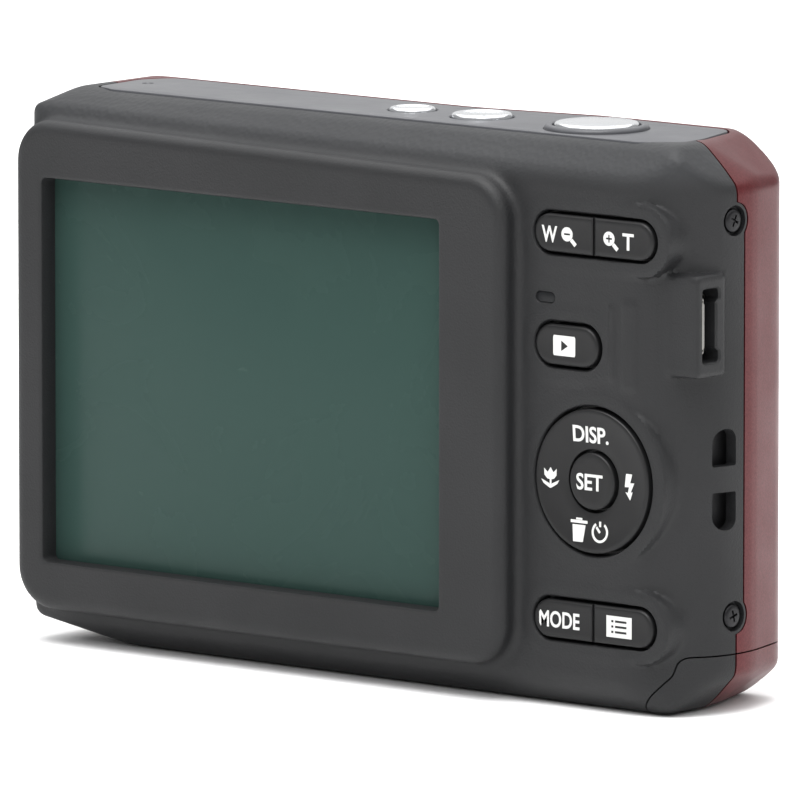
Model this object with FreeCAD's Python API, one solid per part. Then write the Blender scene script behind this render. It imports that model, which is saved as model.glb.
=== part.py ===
"""Compact digital camera, built as the separate pieces it comes apart into.

Frame: millimetres, +Z up, origin at the middle of the box's base. The lens looks along -Y and the
display along +Y. The grip with the battery bay is at the -X end. Places along Y are written as a
depth: how far forward of the display glass's outer face a thing lies.
"""
import FreeCAD, Part
import math
import os

os.makedirs("parts", exist_ok=True)

# ---- Driving dimensions (mm) ---------------------------------------------------------------
HALF_WIDTH = 45.2
HEIGHT = 59.5
WALL = 1.4
GLASS_Y = 11.4            # y of the display glass's outer face, where depth is 0
PANEL_DEPTH = 0.3         # rear panel beside the display
BEZEL_DEPTH = -2.2        # rearmost face, the display bezel
FRONT_DEPTH = 18.0        # front face on the lens side
GRIP_DEPTH = 20.8         # front face on the grip side
LENS_FRONT_DEPTH = 25.0   # foremost face, the lens ring
SEAM_DEPTH = 8.7          # parting line between rear and front cover
SEAM_JOG_DEPTH = 9.9      # the same line between the two side screws
SEAM_GAP = 0.3
SEAM_GROOVE = 0.6
PLATE_GAP = 0.25          # groove round the top plate

DISPLAY_X = (-13.9, 41.0)
DISPLAY_Z = (9.0, 50.2)

ROCKER_SIZE = (15.9, 4.0)
ROCKER_X = -33.0
ZOOM_Z = 49.75
MODE_Z = 9.35
PLAY_SIZE = (8.4, 4.25)
PLAY_CENTRE = (-29.4, 38.1)
LIGHT_SIZE = (2.55, 1.15)
LIGHT_CENTRE = (-26.3, 42.9)
PAD_CENTRE = (-32.8, 24.2)
PAD_R = 7.55
SET_R = 3.0
KEY_GAP = 0.3             # gap around each rear key
KEY_PROUD_DEPTH = 0.0     # outer face of the rear keys
KEY_FLANGE = (1.92, 2.15)
KEY_LIP = 0.6
KEY_PAD = 1.9             # how far the raised pads reach beyond the keys

TOP_BUTTON_DEPTH = 10.3
SHUTTER_X = -25.0
SHUTTER_R = 4.45
RECORD_X = -9.5
RECORD_R = 3.2
POWER_X = 0.0
POWER_R = 2.45
BUTTON_GAP = 0.2
COLLAR_R = 5.5
MIC_X = 36.8

LENS_X = 20.0
LENS_Z = 29.0
RING_R = 19.2
SPIGOT_R = 17.6
RING_BORE_R = 16.5
OUTER_BARREL_R = 16.3
INNER_BARREL_R = 15.2
BARREL_WALL = 1.0
CAM_RING_R = 17.2
HOUSING_R = 18.6
APERTURE_R = 6.0
BLADE_R = 6.8
BLADE_PIVOT = (9.8, 1.5)  # pivot of the upper blade, from the lens axis
BLADE_PIN_R = 0.6
PIN_CLEARANCE = 0.07

CELL_R = 7.25
CELL_LENGTH = 50.5
CELL_DEPTH = 10.8
CELL_X = (-34.9, -19.9)
CELL_BASE_Z = 3.8
CHAMBER_WALL = 0.5

DOOR_INNER_X = 14.5
DOOR_SEAM_Z = 6.4
DOOR_GAP = 0.3
DOOR_LIFT = 0.15          # the door stays this far off the surface the camera stands on
HINGE_X = -44.3
HINGE_Z = 4.8
HINGE_PIN_R = 0.35
HINGE_BORE_R = 0.4

LATCH_X = (5.0, 10.0)     # the latch knob at rest
LATCH_DEPTH = (7.5, 13.5)
LATCH_TRAVEL = 2.0

BOSS_DEPTH = (1.95, 6.8)  # block that carries the port, on the curved corner
BOSS_Z = (35.7, 46.4)
PORT_DEPTH = (2.8, 5.7)
PORT_Z = (37.25, 44.95)
STRAP_DEPTH = (5.7, 8.7)  # strap slots, with a bar between them
STRAP_Z = ((19.4, 23.4), (26.1, 30.0))
TRIPOD_X = 26.0
TRIPOD_DEPTH = 10.0
TRIPOD_BORE_R = 2.6

FLASH_X = (-1.5, 10.5)
FLASH_Z = (49.4, 55.2)
AF_CENTRE = (-6.5, 52.3)
AF_R = 1.6

SIDE_SCREW_Z = (10.3, 51.6)
SIDE_SCREW_DEPTH = 8.5
BOTTOM_SCREWS = ((40.0, 12.5), (17.6, 5.6))    # x and depth
BOTTOM_SEAT_Z = (1.9, 0.9)                     # top of each bottom screw's counterbore
SCREW_HEAD_R = 1.5
SCREW_SEAT_R = 1.7
SCREW_SHANK_R = 0.8
SCREW_HEAD = 0.6
SCREW_SLOT = (0.7, 0.15)                       # half length and half width of the cross slots

# Outlines: corner points, then the radius at each corner
OUTLINE = [(-45.2, 4.4), (-40.9, 0.0), (33.5, 0.0), (45.2, 2.8),
           (45.2, 57.2), (41.5, 59.5), (-40.9, 59.5), (-45.2, 54.8)]
OUTLINE_R = [2.0, 4.0, 12.0, 2.5, 2.0, 3.0, 1.6, 1.6]
CORNER_CUT_AT = (-39.7, 10.3, 59.5)            # x, depth and z of a point on the front corner's flat
CORNER_CUT_FACING = (-0.572, 0.209, 0.793)     # the way that flat faces, in the same order
REAR_Y = GLASS_Y - PANEL_DEPTH
LENS_SIDE_Y = GLASS_Y - FRONT_DEPTH
GRIP_Y = GLASS_Y - GRIP_DEPTH
PLAN = [(45.2, REAR_Y), (-45.2, REAR_Y), (-45.2, 0.0), (-42.3, GRIP_Y),
        (-18.5, GRIP_Y), (-3.5, LENS_SIDE_Y), (43.2, LENS_SIDE_Y), (45.2, 1.2)]
PLAN_R = [1.8, 9.5, 8.0, 5.0, 18.0, 18.0, 5.0, 12.0]
BEVEL_TOP_DEPTH = 3.7
BEVEL_Z = (57.8, 55.3)    # lower edge of the rear top bevel at the +X end and at the grip end
FOOT_BEVEL = 2.6
TOP_PLATE = [(39.3, 6.2), (36.5, 7.3), (-35.6, 7.3), (-39.3, 4.4), (-39.1, 1.0), (-36.6, -7.0),
             (-19.0, -7.3), (-4.0, -4.6), (38.0, -4.6), (39.9, -1.0)]
TOP_PLATE_R = [1.0, 2.0, 1.5, 1.5, 6.0, 2.5, 18.0, 18.0, 2.5, 3.0]
BEZEL = [(-22.6, 3.8), (45.0, 3.8), (45.0, 56.4), (-22.6, 55.1)]
BEZEL_R = [4.8, 4.5, 4.5, 4.8]
DOOR_END = [(-47.0, -1.0), (-37.6, -1.0), (-38.4, 0.9), (-41.6, 4.4), (-42.2, 6.4), (-47.0, 6.4)]
DOOR_END_R = [0.2, 0.2, 1.0, 1.5, 1.2, 0.2]


# ---- Small helpers --------------------------------------------------------------------------
def y_at(depth):
    return GLASS_Y - depth


def vec(x, y, z):
    return FreeCAD.Vector(x, y, z)


def box(xs, depths, zs):
    """A block between two x, two depths and two z."""
    size = (xs[1] - xs[0], depths[1] - depths[0], zs[1] - zs[0])
    return Part.makeBox(*size, vec(xs[0], y_at(depths[1]), zs[0]))


def disc(x, z, radius, depths):
    """A round piece with its axis along Y."""
    return Part.makeCylinder(radius, depths[1] - depths[0], vec(x, y_at(depths[1]), z), vec(0, 1, 0))


def ring(x, z, outer, inner, depths):
    return disc(x, z, outer, depths).cut(disc(x, z, inner, depths))


def post(x, depth, radius, zs):
    """A round piece with its axis upright."""
    return Part.makeCylinder(radius, zs[1] - zs[0], vec(x, y_at(depth), zs[0]), vec(0, 0, 1))


def rod(xs, depth, z, radius):
    """A round piece with its axis along X."""
    return Part.makeCylinder(radius, xs[1] - xs[0], vec(xs[0], y_at(depth), z), vec(1, 0, 0))


def fuse(pieces):
    whole = pieces[0]
    for piece in pieces[1:]:
        whole = whole.fuse(piece)
    return whole.removeSplitter()


def cut(solid, tools):
    for tool in tools:
        solid = solid.cut(tool)
    return solid


def rounded_wire(points, radii, inset, place):
    """A closed outline: edges moved inwards by inset, corners rounded. Points run anticlockwise
    in the plane that place() maps to space."""
    count = len(points)
    lines = []
    for i in range(count):
        ax, ay = points[i]
        bx, by = points[(i + 1) % count]
        length = math.hypot(bx - ax, by - ay)
        dx, dy = (bx - ax) / length, (by - ay) / length
        lines.append((ax - dy * inset, ay + dx * inset, dx, dy))
    corners = []
    for i in range(count):
        px, py, dx, dy = lines[i - 1]
        qx, qy, ex, ey = lines[i]
        t = ((qx - px) * ey - (qy - py) * ex) / (dx * ey - dy * ex)
        corners.append((px + dx * t, py + dy * t))
    edges = []
    last = None
    first = None
    for i in range(count):
        cx, cy = corners[i]
        _, _, dx, dy = lines[i - 1]
        _, _, ex, ey = lines[i]
        turn = dx * ey - dy * ex
        radius = max(radii[i] - inset if turn > 0 else radii[i] + inset, 0.2)
        bend = math.acos(max(-1.0, min(1.0, dx * ex + dy * ey)))
        reach = radius * math.tan(bend / 2)
        start = (cx - dx * reach, cy - dy * reach)
        end = (cx + ex * reach, cy + ey * reach)
        nx, ny = ex - dx, ey - dy
        norm = math.hypot(nx, ny)
        bulge = radius / math.cos(bend / 2) - radius
        middle = (cx + nx / norm * bulge, cy + ny / norm * bulge)
        if last:
            edges.append(Part.LineSegment(place(*last), place(*start)).toShape())
        else:
            first = start
        edges.append(Part.Arc(place(*start), place(*middle), place(*end)).toShape())
        last = end
    edges.append(Part.LineSegment(place(*last), place(*first)).toShape())
    return Part.Wire(edges)


def plan_prism(points, radii, inset, zs):
    """An outline seen from above, as (x, y) points, made into a solid between two z."""
    wire = rounded_wire(points, radii, inset, lambda x, y: vec(x, y, zs[0]))
    return Part.Face(wire).extrude(vec(0, 0, zs[1] - zs[0]))


def face_prism(points, radii, inset, depths):
    """An outline seen from the front, as (x, z) points, made into a solid between two depths."""
    wire = rounded_wire(points, radii, inset, lambda x, z: vec(x, y_at(depths[1]), z))
    return Part.Face(wire).extrude(vec(0, depths[1] - depths[0], 0))


def rounded_box(xs, zs, radius, depths):
    points = [(xs[0], zs[0]), (xs[1], zs[0]), (xs[1], zs[1]), (xs[0], zs[1])]
    return face_prism(points, [radius] * 4, 0.0, depths)


def pill(centre, size, depths):
    """A flat-sided key with half-round ends, its length along X."""
    x, z = centre
    half = (size[0] - size[1]) / 2
    end_r = size[1] / 2
    block = box((x - half, x + half), depths, (z - end_r, z + end_r))
    return fuse([block, disc(x - half, z, end_r, depths), disc(x + half, z, end_r, depths)])


def grown(size, by):
    return (size[0] + 2 * by, size[1] + 2 * by)


def turned(profile, x, z):
    """Revolves (radius, depth) points about the line along Y through x, z."""
    points = [vec(x + r, y_at(d), z) for r, d in profile]
    face = Part.Face(Part.makePolygon(points + points[:1]))
    return face.revolve(vec(x, 0, z), vec(0, 1, 0), 360)


def turned_upright(profile, x, depth):
    """Revolves (radius, z) points about the upright line through x and depth."""
    points = [vec(x + r, y_at(depth), z) for r, z in profile]
    face = Part.Face(Part.makePolygon(points + points[:1]))
    return face.revolve(vec(x, y_at(depth), 0), vec(0, 0, 1), 360)


# ---- The body's outer form --------------------------------------------------------------------
def wedge_section(x, low, high, far):
    points = [vec(x, y_at(depth), z) for depth, z in (low, high, far)]
    return Part.makePolygon(points + points[:1])


def bevel_wedge(inset):
    """What is cut away along the rear top edge. The bevel widens towards the grip."""
    sections = []
    for x, edge_z in ((HALF_WIDTH + 1, BEVEL_Z[0]), (-HALF_WIDTH - 1, BEVEL_Z[1])):
        run = BEVEL_TOP_DEPTH - PANEL_DEPTH
        rise = HEIGHT - edge_z
        length = math.hypot(run, rise)
        shift_depth = inset * rise / length
        shift_z = -inset * run / length
        low = (PANEL_DEPTH - 3 * run + shift_depth, edge_z - 3 * rise + shift_z)
        high = (BEVEL_TOP_DEPTH + 3 * run + shift_depth, HEIGHT + 3 * rise + shift_z)
        sections.append(wedge_section(x, low, high, (PANEL_DEPTH - 3 * run, HEIGHT + 3 * rise)))
    return Part.makeLoft(sections, True, True)


def foot_wedge(inset):
    """The narrow bevel along the rear bottom edge."""
    reach = FOOT_BEVEL + 10
    shift = inset * math.sqrt(2)
    low = (PANEL_DEPTH + reach + shift, -10.0)
    high = (PANEL_DEPTH - 10.0, reach + shift)
    section = wedge_section(-HALF_WIDTH - 1, low, high, (PANEL_DEPTH - 10.0, -10.0))
    return Part.Face(section).extrude(vec(2 * HALF_WIDTH + 2, 0, 0))


def corner_cut(inset):
    """What the flat across the top front corner of the grip takes away."""
    x, depth, z = CORNER_CUT_AT
    facing = vec(CORNER_CUT_FACING[0], -CORNER_CUT_FACING[1], CORNER_CUT_FACING[2])
    block = Part.makeBox(40, 40, 20, vec(-20, -20, 0))
    block.Placement = FreeCAD.Placement(vec(x, y_at(depth), z) - facing * inset,
                                        FreeCAD.Rotation(vec(0, 0, 1), facing))
    return block


def body_form(inset):
    """The closed outer form of both covers together, moved inwards by inset."""
    outline = face_prism(OUTLINE, OUTLINE_R, inset, (-5.0, 30.0))
    plan = plan_prism(PLAN, PLAN_R, inset, (-5.0, 70.0))
    form = outline.common(plan)
    return cut(form, [bevel_wedge(inset), foot_wedge(inset), corner_cut(inset)])


def seam_region(gap):
    """Everything behind the parting line, moved forward by gap. Between the two side screws
    the line steps forward, and it goes round each screw head."""
    back = box((-60, 60), (-20.0, SEAM_DEPTH + gap), (-10, 80))
    jog = box((-60, -38), (0.0, SEAM_JOG_DEPTH + gap), (SIDE_SCREW_Z[0], SIDE_SCREW_Z[1]))
    seats = [rod((-60, -38), SIDE_SCREW_DEPTH, z, SCREW_SEAT_R + 0.2 + gap) for z in SIDE_SCREW_Z]
    return fuse([back, jog] + seats)


def top_plate_prism(grow, zs):
    return plan_prism(TOP_PLATE, TOP_PLATE_R, -grow, zs)


def plate_opening():
    """The opening in both covers that the top plate sits in."""
    return top_plate_prism(PLATE_GAP, (56.0, 62.0))


def door_region(inset):
    """The part of the shell that swings away with the battery door."""
    floor = box((-40.0, DOOR_INNER_X - inset), (3.4 + inset, 17.0 - inset), (-1.0, 1.9))
    end = face_prism(DOOR_END, DOOR_END_R, inset, (-2.0, 24.0))
    return floor.fuse(end)


# ---- Covers -------------------------------------------------------------------------------------
def display_bezel():
    """The raised frame round the display, its outer edge stepped in to follow a soft round."""
    base = face_prism(BEZEL, BEZEL_R, 0.0, (-1.2, PANEL_DEPTH + WALL))
    middle = face_prism(BEZEL, BEZEL_R, 0.3, (-1.8, 0.0))
    crown = face_prism(BEZEL, BEZEL_R, 0.9, (BEZEL_DEPTH, 0.0))
    return fuse([base, middle, crown])


def port_boss():
    """The squared block that carries the port, on the curved corner of the body."""
    block = box((-HALF_WIDTH, -40.4), BOSS_DEPTH, BOSS_Z)
    long_edges = [e for e in block.Edges if e.BoundBox.XLength > 1 or e.BoundBox.ZLength > 5]
    return block.makeFillet(0.7, long_edges)


def key_holes():
    """Holes in the rear panel for the keys and the status light."""
    through = (BEZEL_DEPTH, 3.0)
    holes = [pill((ROCKER_X, z), grown(ROCKER_SIZE, KEY_GAP), through) for z in (ZOOM_Z, MODE_Z)]
    holes.append(pill(PLAY_CENTRE, grown(PLAY_SIZE, KEY_GAP), through))
    holes.append(disc(*PAD_CENTRE, PAD_R + KEY_GAP, through))
    holes.append(pill(LIGHT_CENTRE, LIGHT_SIZE, through))
    return holes


def strap_holes():
    """Two short slots in the side wall, with a bar of wall left between them."""
    slots = []
    for low, high in STRAP_Z:
        slots.append(box((-50, -43.0), STRAP_DEPTH, (low, high)))
    return slots


def side_screw_seats():
    return [rod((-50, -44.5), SIDE_SCREW_DEPTH, z, SCREW_SEAT_R) for z in SIDE_SCREW_Z]


def screw_holes():
    return [rod((-50, -40), SIDE_SCREW_DEPTH, z, SCREW_SHANK_R) for z in SIDE_SCREW_Z]


def shell():
    return body_form(0.0).cut(body_form(WALL))


def key_pads():
    """Flat raised pads round the keys. They stay level where the side of the body curves away."""
    depths = (PANEL_DEPTH, 3.6)
    pads = [pill((ROCKER_X, z), grown(ROCKER_SIZE, KEY_PAD), depths) for z in (ZOOM_Z, MODE_Z)]
    pads.append(pill(PLAY_CENTRE, grown(PLAY_SIZE, KEY_PAD), depths))
    pads.append(disc(*PAD_CENTRE, PAD_R + KEY_PAD, depths))
    return pads


def key_pockets():
    """Room behind the panel for the keys' lips."""
    depths = (PANEL_DEPTH + WALL, 4.0)
    room = KEY_LIP + 0.3
    pockets = [pill((ROCKER_X, z), grown(ROCKER_SIZE, room), depths) for z in (ZOOM_Z, MODE_Z)]
    pockets.append(pill(PLAY_CENTRE, grown(PLAY_SIZE, room), depths))
    pockets.append(disc(*PAD_CENTRE, PAD_R + room, depths))
    return pockets


def make_rear_cover():
    cover = shell().common(seam_region(0.0))
    bezel = display_bezel().common(body_form(0.0).fuse(bezel_reach()))
    cell_room = post(CELL_X[0], CELL_DEPTH, CELL_R + CHAMBER_WALL + 0.25, (0, 60))
    boss = port_boss().cut(cell_room)
    pads = [pad.common(key_pad_reach()).cut(body_form(WALL)) for pad in key_pads()]
    cover = fuse([cover, bezel, boss] + pads)
    cover = cover.cut(box((-15.3, 41.4), (PANEL_DEPTH + WALL, 8.0), (3.0, 55.5)))
    window = rounded_box(DISPLAY_X, DISPLAY_Z, 0.6, (-5.0, 5.0))
    pocket_x = (DISPLAY_X[0] - 0.9, DISPLAY_X[1] + 0.9)
    pocket_z = (DISPLAY_Z[0] - 0.9, DISPLAY_Z[1] + 0.9)
    pocket = rounded_box(pocket_x, pocket_z, 0.6, (0.0, 5.0))
    port = box((-50, -40.9), PORT_DEPTH, PORT_Z)
    tools = [window, pocket, port, door_region(0.0), plate_opening(), tripod_hole()]
    tools += key_pockets() + key_holes() + strap_holes()
    tools += side_screw_seats() + screw_holes() + bottom_screw_cuts()
    return cut(cover, tools)


def key_pad_reach():
    """Keeps the pads clear of the top bevel and of the battery chamber."""
    reach = box((-44.6, -15.0), (PANEL_DEPTH, 3.6), (3.4, 55.0))
    return reach.cut(stadium(CELL_R + CHAMBER_WALL + 0.25, (0, 60)))


def bezel_reach():
    """Room behind the rear panel that the bezel may fill."""
    return box((-46, 46), (BEZEL_DEPTH - 1, PANEL_DEPTH + 0.1), (0, 60))


def make_front_cover():
    cover = shell().cut(seam_region(0.0))
    groove = body_form(-1.0).cut(body_form(SEAM_GROOVE)).common(seam_region(SEAM_GAP))
    lens_hole = disc(LENS_X, LENS_Z, SPIGOT_R, (14.0, 22.0))
    tools = [groove, lens_hole, door_region(0.0), plate_opening(), flash_block(),
             disc(*AF_CENTRE, AF_R, (15.0, 22.0)), tripod_hole()]
    tools += side_screw_seats() + screw_holes() + bottom_screw_cuts()
    return cut(cover, tools)


def tripod_hole():
    return post(TRIPOD_X, TRIPOD_DEPTH, 5.0, (-1.0, 2.0))


def flash_block():
    return rounded_box(FLASH_X, FLASH_Z, 0.8, (15.5, 22.0))


def make_top_plate():
    """Inset plate; its lower step closes the groove that runs round it."""
    plate = top_plate_prism(0.0, (HEIGHT - WALL, HEIGHT))
    step = top_plate_prism(PLATE_GAP - 0.01, (HEIGHT - WALL, HEIGHT - 0.7))
    rib = top_plate_prism(-0.5, (HEIGHT - WALL - 0.7, HEIGHT - WALL))
    rib = rib.cut(top_plate_prism(-1.4, (50.0, 70.0)))
    tools = [post(SHUTTER_X, TOP_BUTTON_DEPTH, COLLAR_R, (50, 70)),
             post(RECORD_X, TOP_BUTTON_DEPTH, RECORD_R + BUTTON_GAP, (50, 70)),
             post(POWER_X, TOP_BUTTON_DEPTH, POWER_R + BUTTON_GAP, (50, 70)),
             post(MIC_X, TOP_BUTTON_DEPTH, 0.55, (50, 70))]
    return cut(fuse([plate, step, rib]), tools)


def make_shutter_collar():
    inner = SHUTTER_R + BUTTON_GAP
    profile = [(inner, 58.1), (COLLAR_R, 58.1), (COLLAR_R, 59.8), (COLLAR_R - 0.3, 60.0), (inner, 60.0)]
    return turned_upright(profile, SHUTTER_X, TOP_BUTTON_DEPTH)


# ---- Display and boards --------------------------------------------------------------------------
def make_display_glass():
    xs = (DISPLAY_X[0] - 0.85, DISPLAY_X[1] + 0.85)
    zs = (DISPLAY_Z[0] - 0.85, DISPLAY_Z[1] + 0.85)
    return rounded_box(xs, zs, 0.6, (0.0, 0.8))


def make_display_panel():
    xs = (DISPLAY_X[0] - 0.5, DISPLAY_X[1] + 0.5)
    zs = (DISPLAY_Z[0] - 0.5, DISPLAY_Z[1] + 0.5)
    return box(xs, (0.8, 2.7), zs)


def make_display_frame():
    xs = (DISPLAY_X[0] - 1.2, DISPLAY_X[1] + 0.9)
    zs = (DISPLAY_Z[0] - 2.6, DISPLAY_Z[1] + 1.2)
    tray = box(xs, (1.8, 3.1), zs)
    hollow = box((xs[0] + 0.6, xs[1] - 0.35), (1.0, 2.7), (zs[0] + 2.0, zs[1] - 0.6))
    return tray.cut(hollow)


def make_chassis_plate():
    plate = box((-13.5, 40.6), (3.1, 3.6), (3.6, 56.0))
    windows = [box((24.0, 34.0), (3.0, 4.0), (8.0, 14.0)), box((-8.0, 2.0), (3.0, 4.0), (42.0, 50.0))]
    studs = [disc(x, z, 1.2, (3.6, 4.2)) for x in (-10.0, 39.0) for z in (7.0, 53.0)]
    return fuse([cut(plate, windows)] + studs)


def make_main_board():
    board = box((-11.5, 40.6), (4.2, 5.0), (7.0, 55.0))
    chips = [box((29.0, 38.0), (5.0, 5.9), (9.0, 16.0)),
             box((30.0, 38.0), (5.0, 5.8), (44.0, 52.0)),
             box((-9.0, 1.0), (5.0, 6.3), (40.0, 50.0)),
             box((14.0, 26.0), (5.0, 5.6), (46.0, 49.0))]
    return fuse([board] + chips)


def make_card_socket():
    shell_box = box((-11.3, 13.2), (5.0, 7.6), (4.0, 34.0))
    slot = box((-11.1, 13.0), (5.25, 7.4), (3.0, 33.0))
    return shell_box.cut(slot)


def make_image_sensor():
    plate = box((LENS_X - 5.9, LENS_X + 8.0), (5.9, 6.3), (LENS_Z - 7.0, LENS_Z + 7.0))
    chip = box((LENS_X - 5.0, LENS_X + 5.0), (6.3, 7.9), (LENS_Z - 4.5, LENS_Z + 4.5))
    return fuse([plate, chip])


def make_key_board():
    """Thin board behind the rear keys with a dome under each contact."""
    board = box((-39.0, -24.3), (2.5, 2.8), (6.5, 53.0))
    tail = box((-26.0, -15.5), (2.5, 2.7), (52.0, 54.5))
    domes = []
    for z in (ZOOM_Z, MODE_Z):
        for side in (-1, 1):
            domes.append(disc(ROCKER_X + side * 5.2, z, 1.6, (2.36, 2.5)))
    domes.append(disc(*PLAY_CENTRE, 1.6, (2.36, 2.5)))
    for across, up in ((0, 5.8), (0, -5.8), (5.8, 0), (-5.8, 0), (0, 0)):
        domes.append(disc(PAD_CENTRE[0] + across, PAD_CENTRE[1] + up, 1.3, (2.36, 2.5)))
    return fuse([board, tail] + domes)


def make_top_board():
    board = box((-31.0, 3.5), (6.4, 14.0), (55.5, 56.1))
    domes = [post(x, TOP_BUTTON_DEPTH, 1.8, (56.1, 56.3)) for x in (SHUTTER_X, RECORD_X, POWER_X)]
    return fuse([board] + domes)


# ---- Keys and buttons -----------------------------------------------------------------------------
def make_rocker(z):
    face = pill((ROCKER_X, z), ROCKER_SIZE, (KEY_PROUD_DEPTH, KEY_FLANGE[0]))
    groove = box((ROCKER_X - 0.15, ROCKER_X + 0.15), (-1.0, KEY_PROUD_DEPTH + 0.2), (z - 4, z + 4))
    lip = pill((ROCKER_X, z), grown(ROCKER_SIZE, KEY_LIP), KEY_FLANGE)
    return fuse([face.cut(groove), lip])


def make_playback_button():
    face = pill(PLAY_CENTRE, PLAY_SIZE, (KEY_PROUD_DEPTH, KEY_FLANGE[0]))
    return fuse([face, pill(PLAY_CENTRE, grown(PLAY_SIZE, KEY_LIP), KEY_FLANGE)])


def make_four_way_pad():
    """Tilting ring with a shallow dish, a lip behind the panel and a groove for its pivot ring."""
    hole = SET_R + KEY_GAP
    lip_r = PAD_R + KEY_LIP
    front, back = KEY_FLANGE
    face = [(hole, 0.35), (5.4, 0.28), (PAD_R - 0.3, 0.0), (PAD_R, 0.2)]
    lip = [(PAD_R, front), (lip_r, front), (lip_r, back), (6.4, back)]
    groove = [(6.4, 1.35), (4.9, 1.35), (4.9, back), (4.2, back), (4.2, 1.05), (hole, 1.05)]
    return turned(face + lip + groove, *PAD_CENTRE)


def make_pad_pivot():
    return ring(*PAD_CENTRE, 6.2, 5.1, (1.6, 2.1))


def make_set_button():
    face = [(0.0, 0.0), (SET_R - 0.3, 0.0), (SET_R, 0.25), (SET_R, 1.45)]
    lip = [(3.7, 1.45), (3.7, 1.8), (2.0, 1.8), (2.0, 2.1), (0.0, 2.1)]
    return turned(face + lip, *PAD_CENTRE)


def make_status_light():
    lens = pill(LIGHT_CENTRE, LIGHT_SIZE, (PANEL_DEPTH + 0.1, PANEL_DEPTH + WALL))
    return fuse([lens, pill(LIGHT_CENTRE, grown(LIGHT_SIZE, 0.5), (PANEL_DEPTH + WALL, 2.5))])


def top_button(x, radius, top_z, dish):
    """Round button with a soft edge, a dish or dome on top, a lip below the plate and a stem."""
    crown = radius * 0.55
    face = [(0.0, top_z - dish), (crown, top_z - dish * 0.6), (radius - 0.35, top_z),
            (radius, top_z - 0.35)]
    lip = [(radius, 57.75), (radius + 0.6, 57.75), (radius + 0.6, 57.3)]
    stem = [(1.2, 57.3), (1.2, 56.85), (0.0, 56.85)]
    return turned_upright(face + lip + stem, x, TOP_BUTTON_DEPTH)


# ---- Lens -----------------------------------------------------------------------------------------
def make_lens_ring():
    profile = [(RING_BORE_R, 15.6), (SPIGOT_R, 15.6), (SPIGOT_R, FRONT_DEPTH), (RING_R, FRONT_DEPTH),
               (RING_R, 19.4), (RING_R - 0.5, 20.0), (17.9, 24.2), (17.3, LENS_FRONT_DEPTH),
               (16.8, LENS_FRONT_DEPTH), (RING_BORE_R, 24.6)]
    return turned(profile, LENS_X, LENS_Z)


def make_lens_housing():
    tube = ring(LENS_X, LENS_Z, HOUSING_R, CAM_RING_R + 0.1, (7.9, 15.4))
    back = disc(LENS_X, LENS_Z, HOUSING_R, (7.9, 8.5))
    collar = disc(LENS_X, LENS_Z, 6.5, (8.5, 11.6))
    ears = [disc(LENS_X + dx, LENS_Z + dz, 2.4, (7.9, 9.4)) for dx, dz in ((-14, 14), (14, 14), (14, -14))]
    light_path = disc(LENS_X, LENS_Z, 5.4, (9.0, 12.0))
    sensor_window = box((LENS_X - 4.0, LENS_X + 4.0), (7.0, 9.5), (LENS_Z - 3.5, LENS_Z + 3.5))
    body = fuse([tube, back, collar] + ears)
    body = body.cut(disc(LENS_X, LENS_Z, CAM_RING_R + 0.1, (8.5, 16.0)).cut(collar))
    return cut(body, [light_path, sensor_window])


def make_cam_ring():
    body = ring(LENS_X, LENS_Z, CAM_RING_R, OUTER_BARREL_R + 0.1, (8.6, 15.2))
    slots = []
    for turn in (30, 150, 270):
        angle = math.radians(turn)
        x = LENS_X + CAM_RING_R * math.cos(angle)
        z = LENS_Z + CAM_RING_R * math.sin(angle)
        slots.append(disc(x, z, 1.1, (9.6, 14.0)))
    return cut(body, slots)


def make_outer_barrel():
    inner = OUTER_BARREL_R - BARREL_WALL
    return ring(LENS_X, LENS_Z, OUTER_BARREL_R, inner, (8.8, 24.2))


def make_inner_barrel():
    """Front barrel with a front plate round the aperture, a web for the lens and blade pins."""
    inner = INNER_BARREL_R - BARREL_WALL
    tube = ring(LENS_X, LENS_Z, INNER_BARREL_R, inner, (9.1, 24.4))
    plate = ring(LENS_X, LENS_Z, INNER_BARREL_R, APERTURE_R, (23.7, 24.4))
    web = ring(LENS_X, LENS_Z, INNER_BARREL_R, 7.6, (18.2, 20.4))
    px, pz = BLADE_PIVOT
    pins = [disc(LENS_X + px, LENS_Z + side * pz, BLADE_PIN_R, (22.6, 23.8)) for side in (-1, 1)]
    return fuse([tube, plate, web] + pins)


def make_blade(side):
    """Half of the lens cover: a half disc with an arm to its pivot pin."""
    px, pz = BLADE_PIVOT
    depths = (22.95, 23.35)
    half = disc(LENS_X, LENS_Z, BLADE_R, depths)
    arm = box((LENS_X, LENS_X + px), depths, (LENS_Z - pz - 1.3, LENS_Z + pz + 1.3))
    whole = fuse([half, arm, disc(LENS_X + px, LENS_Z + side * pz, 1.3, depths)])
    low, high = (LENS_Z + 0.03, LENS_Z + 9) if side > 0 else (LENS_Z - 9, LENS_Z - 0.03)
    whole = whole.common(box((LENS_X - 9, LENS_X + 13), depths, (low, high)))
    return whole.cut(disc(LENS_X + px, LENS_Z + side * pz, BLADE_PIN_R + PIN_CLEARANCE, depths))


def lens_element(radius, rim, depths, bulge):
    """Glass with both faces domed by bulge, and a cylindrical rim."""
    sphere_r = (radius * radius + bulge * bulge) / (2 * bulge)
    body = disc(LENS_X, LENS_Z, rim, (depths[0] - bulge, depths[1] + bulge))
    front = Part.makeSphere(sphere_r, vec(LENS_X, y_at(depths[1] + bulge - sphere_r), LENS_Z))
    back = Part.makeSphere(sphere_r, vec(LENS_X, y_at(depths[0] - bulge + sphere_r), LENS_Z))
    return body.common(front).common(back)


def make_front_lens():
    return lens_element(7.6, 7.6, (18.4, 20.2), 1.4)


def make_rear_lens():
    return lens_element(5.4, 5.4, (9.9, 10.9), 0.6)


def make_zoom_motor():
    can = disc(36.5, 50.0, 3.6, (7.0, 14.5))
    return fuse([can, disc(36.5, 50.0, 0.6, (6.2, 7.0))])


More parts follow.
